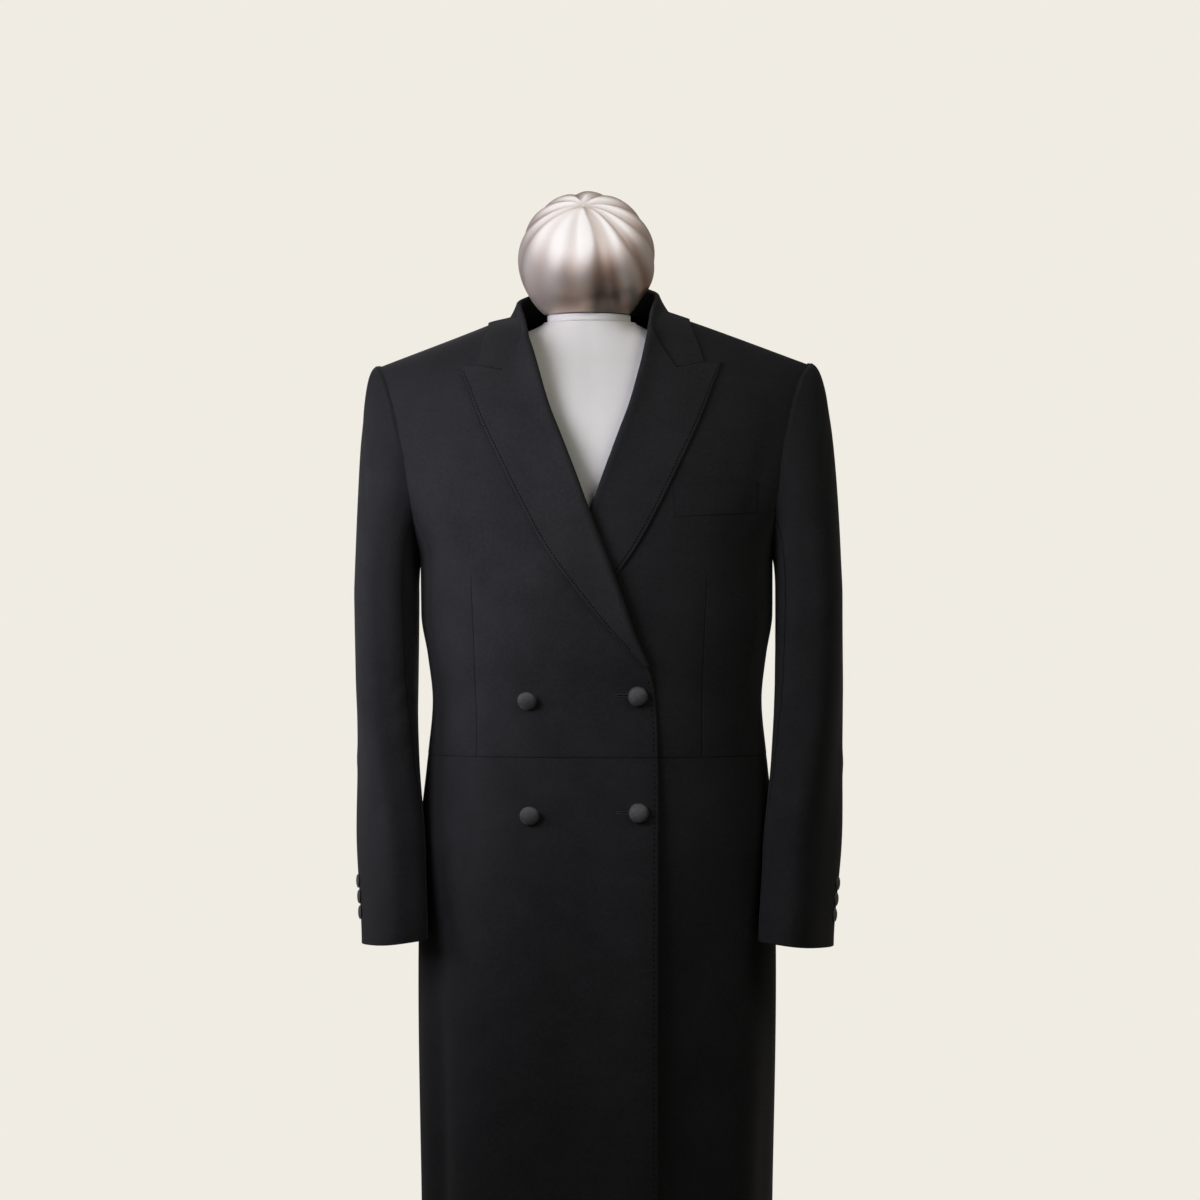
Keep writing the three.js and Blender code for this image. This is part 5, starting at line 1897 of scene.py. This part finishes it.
# ------------------------------------------------------------------ the dress form and its stand
@dataclass(frozen=True)
class DressForm:
    """The limbless torso and neck in jersey, and the ball on top in gathered satin."""

    power: float = 2.3  # of the torso's superellipse
    cap_radius: float = 74.5  # of the ball
    gather: Triple = (-0.02, -0.638, 0.77)  # where its satin is drawn together
    eye_depth: float = 2.6  # the hollow at that point
    eye_width: float = 5.0  # in degrees
    bend: float = 5.0  # the creases wander by this many degrees
    fading: float = 70.0  # and run out over this many, past their reach
    creases: Table = Table(
        "angle depth width reach",
        (
            (-162, 2.2, 2.4, 50), (-128, 2.2, 2.2, 50), (-98, 2.6, 2.4, 70), (-72, 2.2, 2.2, 75),
            (-46, 1.6, 3.0, 60), (-17, 2.2, 2.8, 95), (19, 4.2, 2.5, 105), (34, 2.4, 1.7, 90),
            (60, 3.6, 2.0, 105), (83, 3.0, 1.9, 95), (108, 3.0, 2.3, 70), (150, 2.6, 2.4, 50),
        ),
    )
    sections: Table = Table(
        "z half front back",
        (
            (850, 140, 92, 104), (868, 151, 101, 114), (900, 156, 104, 118), (980, 152, 98, 108),
            (1054, 146, 90, 88), (1120, 148, 96, 86), (1200, 158, 105, 96), (1262, 166, 109, 103),
            (1300, 172, 109, 105), (1350, 181, 105, 103), (1400, 188, 97, 98), (1438, 191, 83, 84),
            (1457, 191, 72, 75), (1469, 184, 65, 68), (1478, 166, 59, 62), (1487, 136, 54, 57),
            (1497, 104, 50, 53), (1506, 76, 48, 49), (1513, 58, 47, 47), (1518, 50, 47, 46),
        ),
    )

    def torso(self) -> None:
        """The torso: rings of superellipses, with a sewn seam down the middle of the front and back."""
        z_table = self.sections.column("z")
        z = np.interp(np.linspace(0, len(z_table) - 1, 150), np.arange(len(z_table)), z_table)
        angle = np.radians(np.linspace(-90, 270, 181)[:-1])
        half = self.sections.curve("half")(z)[:, None]
        front = self.sections.curve("front")(z)[:, None]
        rear = self.sections.curve("back")(z)[:, None]
        depth = np.where(np.sin(angle) < 0, front, rear)
        x = half * signed_power(np.cos(angle), 2 / self.power)
        y = depth * signed_power(np.sin(angle), 2 / self.power)
        groove = 1 - 0.6 * bell(x, 0.9) / np.maximum(np.hypot(x, y), 1)
        shift = BODY.stance.curve("shift")(z)[:, None]
        points = np.stack([x * groove + shift, y * groove, np.repeat(z[:, None], 180, 1)], -1)
        run = np.repeat(lengths(points, 0)[:, :1], 180, axis=1)
        around = np.repeat(lengths(points, 1)[75:76], len(z), axis=0)
        ends = np.array([[shift[0, 0], 0, z[0]], [shift[-1, 0], 0, z[-1]]])
        mesh = capped(points, ends, np.stack([around, run], -1))
        mesh.piece("jersey_torso", Finish.JERSEY, ["form_torso"])

    def neck(self) -> None:
        """The neck: a short drum with a soft top and bottom edge."""
        low, high = (np.array(corner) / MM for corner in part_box("form_neck"))
        bottom, top = low[2], high[2]
        radius = (high[0] - low[0]) / 2
        profile = np.array(
            [(0, bottom), (radius - 1.5, bottom), (radius - 0.4, bottom + 0.5), (radius, bottom + 1.6),
             (radius, top - 0.5), (radius - 0.5, top), (0, top)]
        )
        centre = ((low[0] + high[0]) / 2, (low[1] + high[1]) / 2)
        turned(profile, 96, centre).piece("jersey_neck", Finish.JERSEY, ["form_neck"])

    def cap(self) -> None:
        """The ball: satin drawn together at a point high on the front, with creases running from it.

        At t round from the gather point and a round it, the radius is R less the sum of
        depth * bell(arc from the crease / width), where a crease fades away from the point.
        """
        low, high = (np.array(corner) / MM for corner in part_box("form_cap"))
        radius = self.cap_radius
        centre = np.array([(low[0] + high[0]) / 2, (low[1] + high[1]) / 2, high[2] - radius])
        pole = unit(np.array(self.gather))
        toward = unit(np.array([0.0, -1.0, 0.0]) + pole[1] * pole)
        right = np.cross(pole, toward)
        polar = np.radians(np.linspace(0, 180, 132)[1:-1])[::-1, None]
        around = np.radians(np.arange(0, 360, 1.25))[None]
        t = np.degrees(polar)
        sunk = self.eye_depth * bell(t, self.eye_width) + np.zeros_like(around)
        for angle, depth, width, reach in self.creases.rows:
            bend = self.bend * np.sin(np.radians(t * 2.2 + angle * 3))
            away = (np.degrees(around) - angle - bend + 180) % 360 - 180
            arc = np.radians(away) * np.sin(polar) * radius
            fade = smooth(t / 9) * (1 - smooth((t - reach) / self.fading))
            wide = width * (1 + t / 22)
            sunk = sunk + depth * fade * (bell(arc, wide) - 0.3 * bell(arc + 2.2 * wide, 1.6 * wide))
        direction = np.cos(polar)[..., None] * pole + np.sin(polar)[..., None] * (
            np.cos(around)[..., None] * toward + np.sin(around)[..., None] * right
        )
        points = centre + direction * (radius - 0.6 - sunk)[..., None]
        ends = centre + np.outer([-1, 1], pole * (radius - 3.2))
        points[..., 2] = np.maximum(points[..., 2], low[2] + 0.4)
        ends[:, 2] = np.maximum(ends[:, 2], low[2] + 0.4)
        run = np.repeat(polar * radius, points.shape[1], axis=1)
        grain = np.stack([np.repeat(around * radius, len(polar), 0), run], -1)
        mesh = capped(points, ends, grain)
        x, z = points[..., 0], points[..., 2]
        # painted shade in the creases, and painted dark reflection: darker and browner towards the bottom,
        # with a dark patch low in the middle and the bottom pole fully dark
        fold = 0.11 * sunk + 0.4 * smooth((centre[2] + 8 - z) / 62)
        fold = fold + 0.34 * bell(x - 4, 30) * smooth((centre[2] + 6 - z) / 54)
        mesh.fold = np.clip(np.append(fold.ravel(), [1.0, 0.0]), 0, 1)
        mesh.piece("satin_cap", Finish.SATIN, ["form_cap"])

    def build(self) -> None:
        """Makes the torso, the neck and the cap."""
        self.torso()
        self.neck()
        self.cap()


@dataclass(frozen=True)
class Stand:
    """The steel pole and its round base, in the frame's own boxes, with softened edges."""

    rim: Table = Table(
        "inset height",
        (
            (2, 0), (0.6, 0.5), (0, 2), (0, 6), (0.8, 7.8), (3, 9), (10, 10.5), (70, 11.6),
            (130, 12.5), (150, 13.3),
        ),
    )
    socket: float = 30.0  # radius of the level part where the pole stands

    def pole(self) -> None:
        """The pole, its ends rounded by a millimetre."""
        low, high = (np.array(corner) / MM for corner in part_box("stand_pole"))
        radius, bottom, top = high[0], low[2], high[2]
        side = [(radius - 1, bottom), (radius, bottom + 1), (radius, top - 1), (radius - 1, top)]
        profile = np.array([(0, bottom), *side, (0, top)])
        turned(profile, 64, (0.0, 0.0)).piece("steel_pole", Finish.STEEL, ["stand_pole"])

    def base(self) -> None:
        """The base: a flat underside, a rounded rim and a top that rises gently to the pole."""
        _, high = (np.array(corner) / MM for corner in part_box("stand_base"))
        radius, height = high[0], high[2]
        rim = [(radius - inset, z) for inset, z in self.rim.rows]
        profile = np.array([(0, 0), *rim, (self.socket, height), (0, height)])
        turned(profile, 128, (0.0, 0.0)).piece("steel_base", Finish.STEEL, ["stand_base"])

    def build(self) -> None:
        """Makes both."""
        self.pole()
        self.base()


# ------------------------------------------------------------------ studio
@dataclass(frozen=True)
class Lamp:
    """A square soft light that mirrors do not see: its place, aim, side, power, spread and tint."""

    name: str
    place: Triple
    aim: Triple
    size: float
    power: float
    spread: float = 180.0
    blue: float = 1.0

    def build(self) -> None:
        """Adds the light."""
        data = bpy.data.lights.new(self.name, "AREA")
        data.shape, data.size, data.energy = "SQUARE", self.size, self.power
        data.spread, data.color = math.radians(self.spread), (1.0, 1.0, self.blue)
        lamp = bpy.data.objects.new(self.name, data)
        bpy.context.scene.collection.objects.link(lamp)
        lamp.location, lamp.visible_glossy = self.place, False
        back = unit(np.array(self.place) - np.array(self.aim))
        side = unit(np.cross(UP, back))
        rows = np.stack([side, np.cross(back, side), back], axis=1)
        lamp.rotation_euler = (
            math.atan2(rows[2, 1], rows[2, 2]),
            -math.asin(rows[2, 0]),
            math.atan2(rows[1, 0], rows[0, 0]),
        )


@dataclass(frozen=True)
class Studio:
    """A plain pale floor, a plain pale backdrop, soft lights and the camera."""

    backdrop: Triple = (0.871, 0.839, 0.768)  # colour of the wall and the floor
    ambient: Triple = (0.004, 0.004, 0.0045)  # light from all round, almost none
    room: tuple[tuple[float, Triple], ...] = (
        (0.0, (0.15, 0.105, 0.085)),
        (0.28, (0.62, 0.50, 0.45)),
        (0.56, (1.18, 1.17, 1.17)),
    )
    bright_side: Triple = (-0.10, -0.45, 0.89)  # where the mirrored room is bright
    floor_radius: float = 3.2
    floor_glow: float = 0.8  # the floor's own light, seen by the camera only
    azimuth: float = 3.0  # of the camera, degrees
    distance: float = 4.0  # of the camera, like the rest in metres
    height: float = 1.2196  # of the camera and its aim
    view_width: float = 1.296  # width in view at the pole
    lamps: tuple[Lamp, ...] = (
        Lamp("key_light", (-0.601, -0.601, 1.45), (0.0, 0.0, 1.25), 0.45, 4.3, blue=1.1),
        Lamp("chest_light", (-0.601, -0.601, 1.60), (0.0, 0.0, 1.45), 0.45, 0.34, 70, 1.1),
        Lamp("front_light", (-0.425, -0.736, 1.50), (0.0, 0.0, 1.30), 0.45, 0.2, 70, 1.1),
        Lamp("side_light", (-1.083, -0.191, 1.20), (0.0, 0.0, 1.15), 0.5, 1.0, 60, 1.1),
        Lamp("top_fill", (0.688, -0.983, 2.10), (0.0, 0.0, 1.25), 0.6, 5.1, blue=0.88),
        Lamp("back_light", (0.25, 2.2, 1.6), (0.0, 0.0, 1.1), 1.0, 45.0),
    )

    def world(self) -> None:
        """The backdrop's colour to the camera, a pale room to mirrors, and a dim light on all else."""
        world = bpy.data.worlds.new("studio")
        tree = NodeTree(world)
        facing = tree.node("ShaderNodeVectorMath", operation="DOT_PRODUCT")
        tree.link(tree.node("ShaderNodeTexCoord").outputs["Generated"], facing.inputs[0])
        facing.inputs[1].default_value = self.bright_side
        shade = tree.ramp(facing.outputs["Value"], self.room)
        colours = ((*self.ambient, 1), shade, (*self.backdrop, 1))
        dim, room, seen = (tree.node("ShaderNodeBackground", Color=colour).outputs[0] for colour in colours)
        path = tree.node("ShaderNodeLightPath")
        mirrored, blend = (tree.node("ShaderNodeMixShader") for _ in range(2))
        for mixer, sources in (
            (mirrored, (path.outputs["Is Glossy Ray"], dim, room)),
            (blend, (path.outputs["Is Camera Ray"], mirrored.outputs[0], seen)),
        ):
            for source, socket in zip(sources, mixer.inputs):
                tree.link(source, socket)
        tree.node("ShaderNodeOutputWorld", Surface=blend.outputs[0])
        bpy.context.scene.world = world
        bpy.context.scene.view_settings.view_transform = "Standard"

    def floor(self) -> None:
        """A round pale floor under the stand."""
        shader, colour = Shader("pale_floor"), (*self.backdrop, 1)
        seen = shader.node("ShaderNodeLightPath").outputs["Is Camera Ray"]
        glow = {"Emission Color": colour, "Emission Strength": shader.product(seen, self.floor_glow)}
        surface = shader.node("ShaderNodeBsdfPrincipled", Roughness=0.9, **{"Base Color": colour, **glow})
        shader.node("ShaderNodeOutputMaterial", Surface=surface.outputs[0])
        angle = np.arange(128) * 2 * math.pi / 128
        x, y = self.floor_radius * np.cos(angle), self.floor_radius * np.sin(angle)
        points = np.stack([x, y, np.full(len(angle), -0.001)], -1)
        mesh = bpy.data.meshes.new("floor")
        mesh.from_pydata(points.tolist(), [], [list(range(len(angle)))])
        mesh.materials.append(shader.material)
        floor = bpy.data.objects.new("floor", mesh)
        bpy.context.scene.collection.objects.link(floor)

    def camera(self) -> None:
        """A level camera a little to the wearer's left of the front."""
        turn = math.radians(self.azimuth)
        data = bpy.data.cameras.new("camera")
        data.sensor_width = 36.0
        data.lens = data.sensor_width * self.distance / self.view_width
        camera = bpy.data.objects.new("camera", data)
        bpy.context.scene.collection.objects.link(camera)
        camera.location = (math.sin(turn) * self.distance, -math.cos(turn) * self.distance, self.height)
        camera.rotation_euler = (math.pi / 2, 0.0, turn)
        bpy.context.scene.camera = camera

    def build(self) -> None:
        """Sets up the camera, the floor, the backdrop and the lights."""
        self.camera()
        self.floor()
        self.world()
        for lamp in self.lamps:
            lamp.build()


def main() -> None:
    """Builds the scene round the frame."""
    logging.basicConfig(level=logging.INFO, format="%(name)s: %(message)s")
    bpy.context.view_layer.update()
    Studio().build()
    DressForm().build()
    Stand().build()
    panels, lapels, sleeves = Panels(), Lapels(), Sleeves()
    panels.build()
    lapels.build()
    Collar().build()
    BreastWelt().build()
    sleeves.build()
    CoveredButtons().build(sleeves)
    Buttonholes().build()
    PickStitches().build(lapels, panels)


if __name__ == "__main__":
    main()
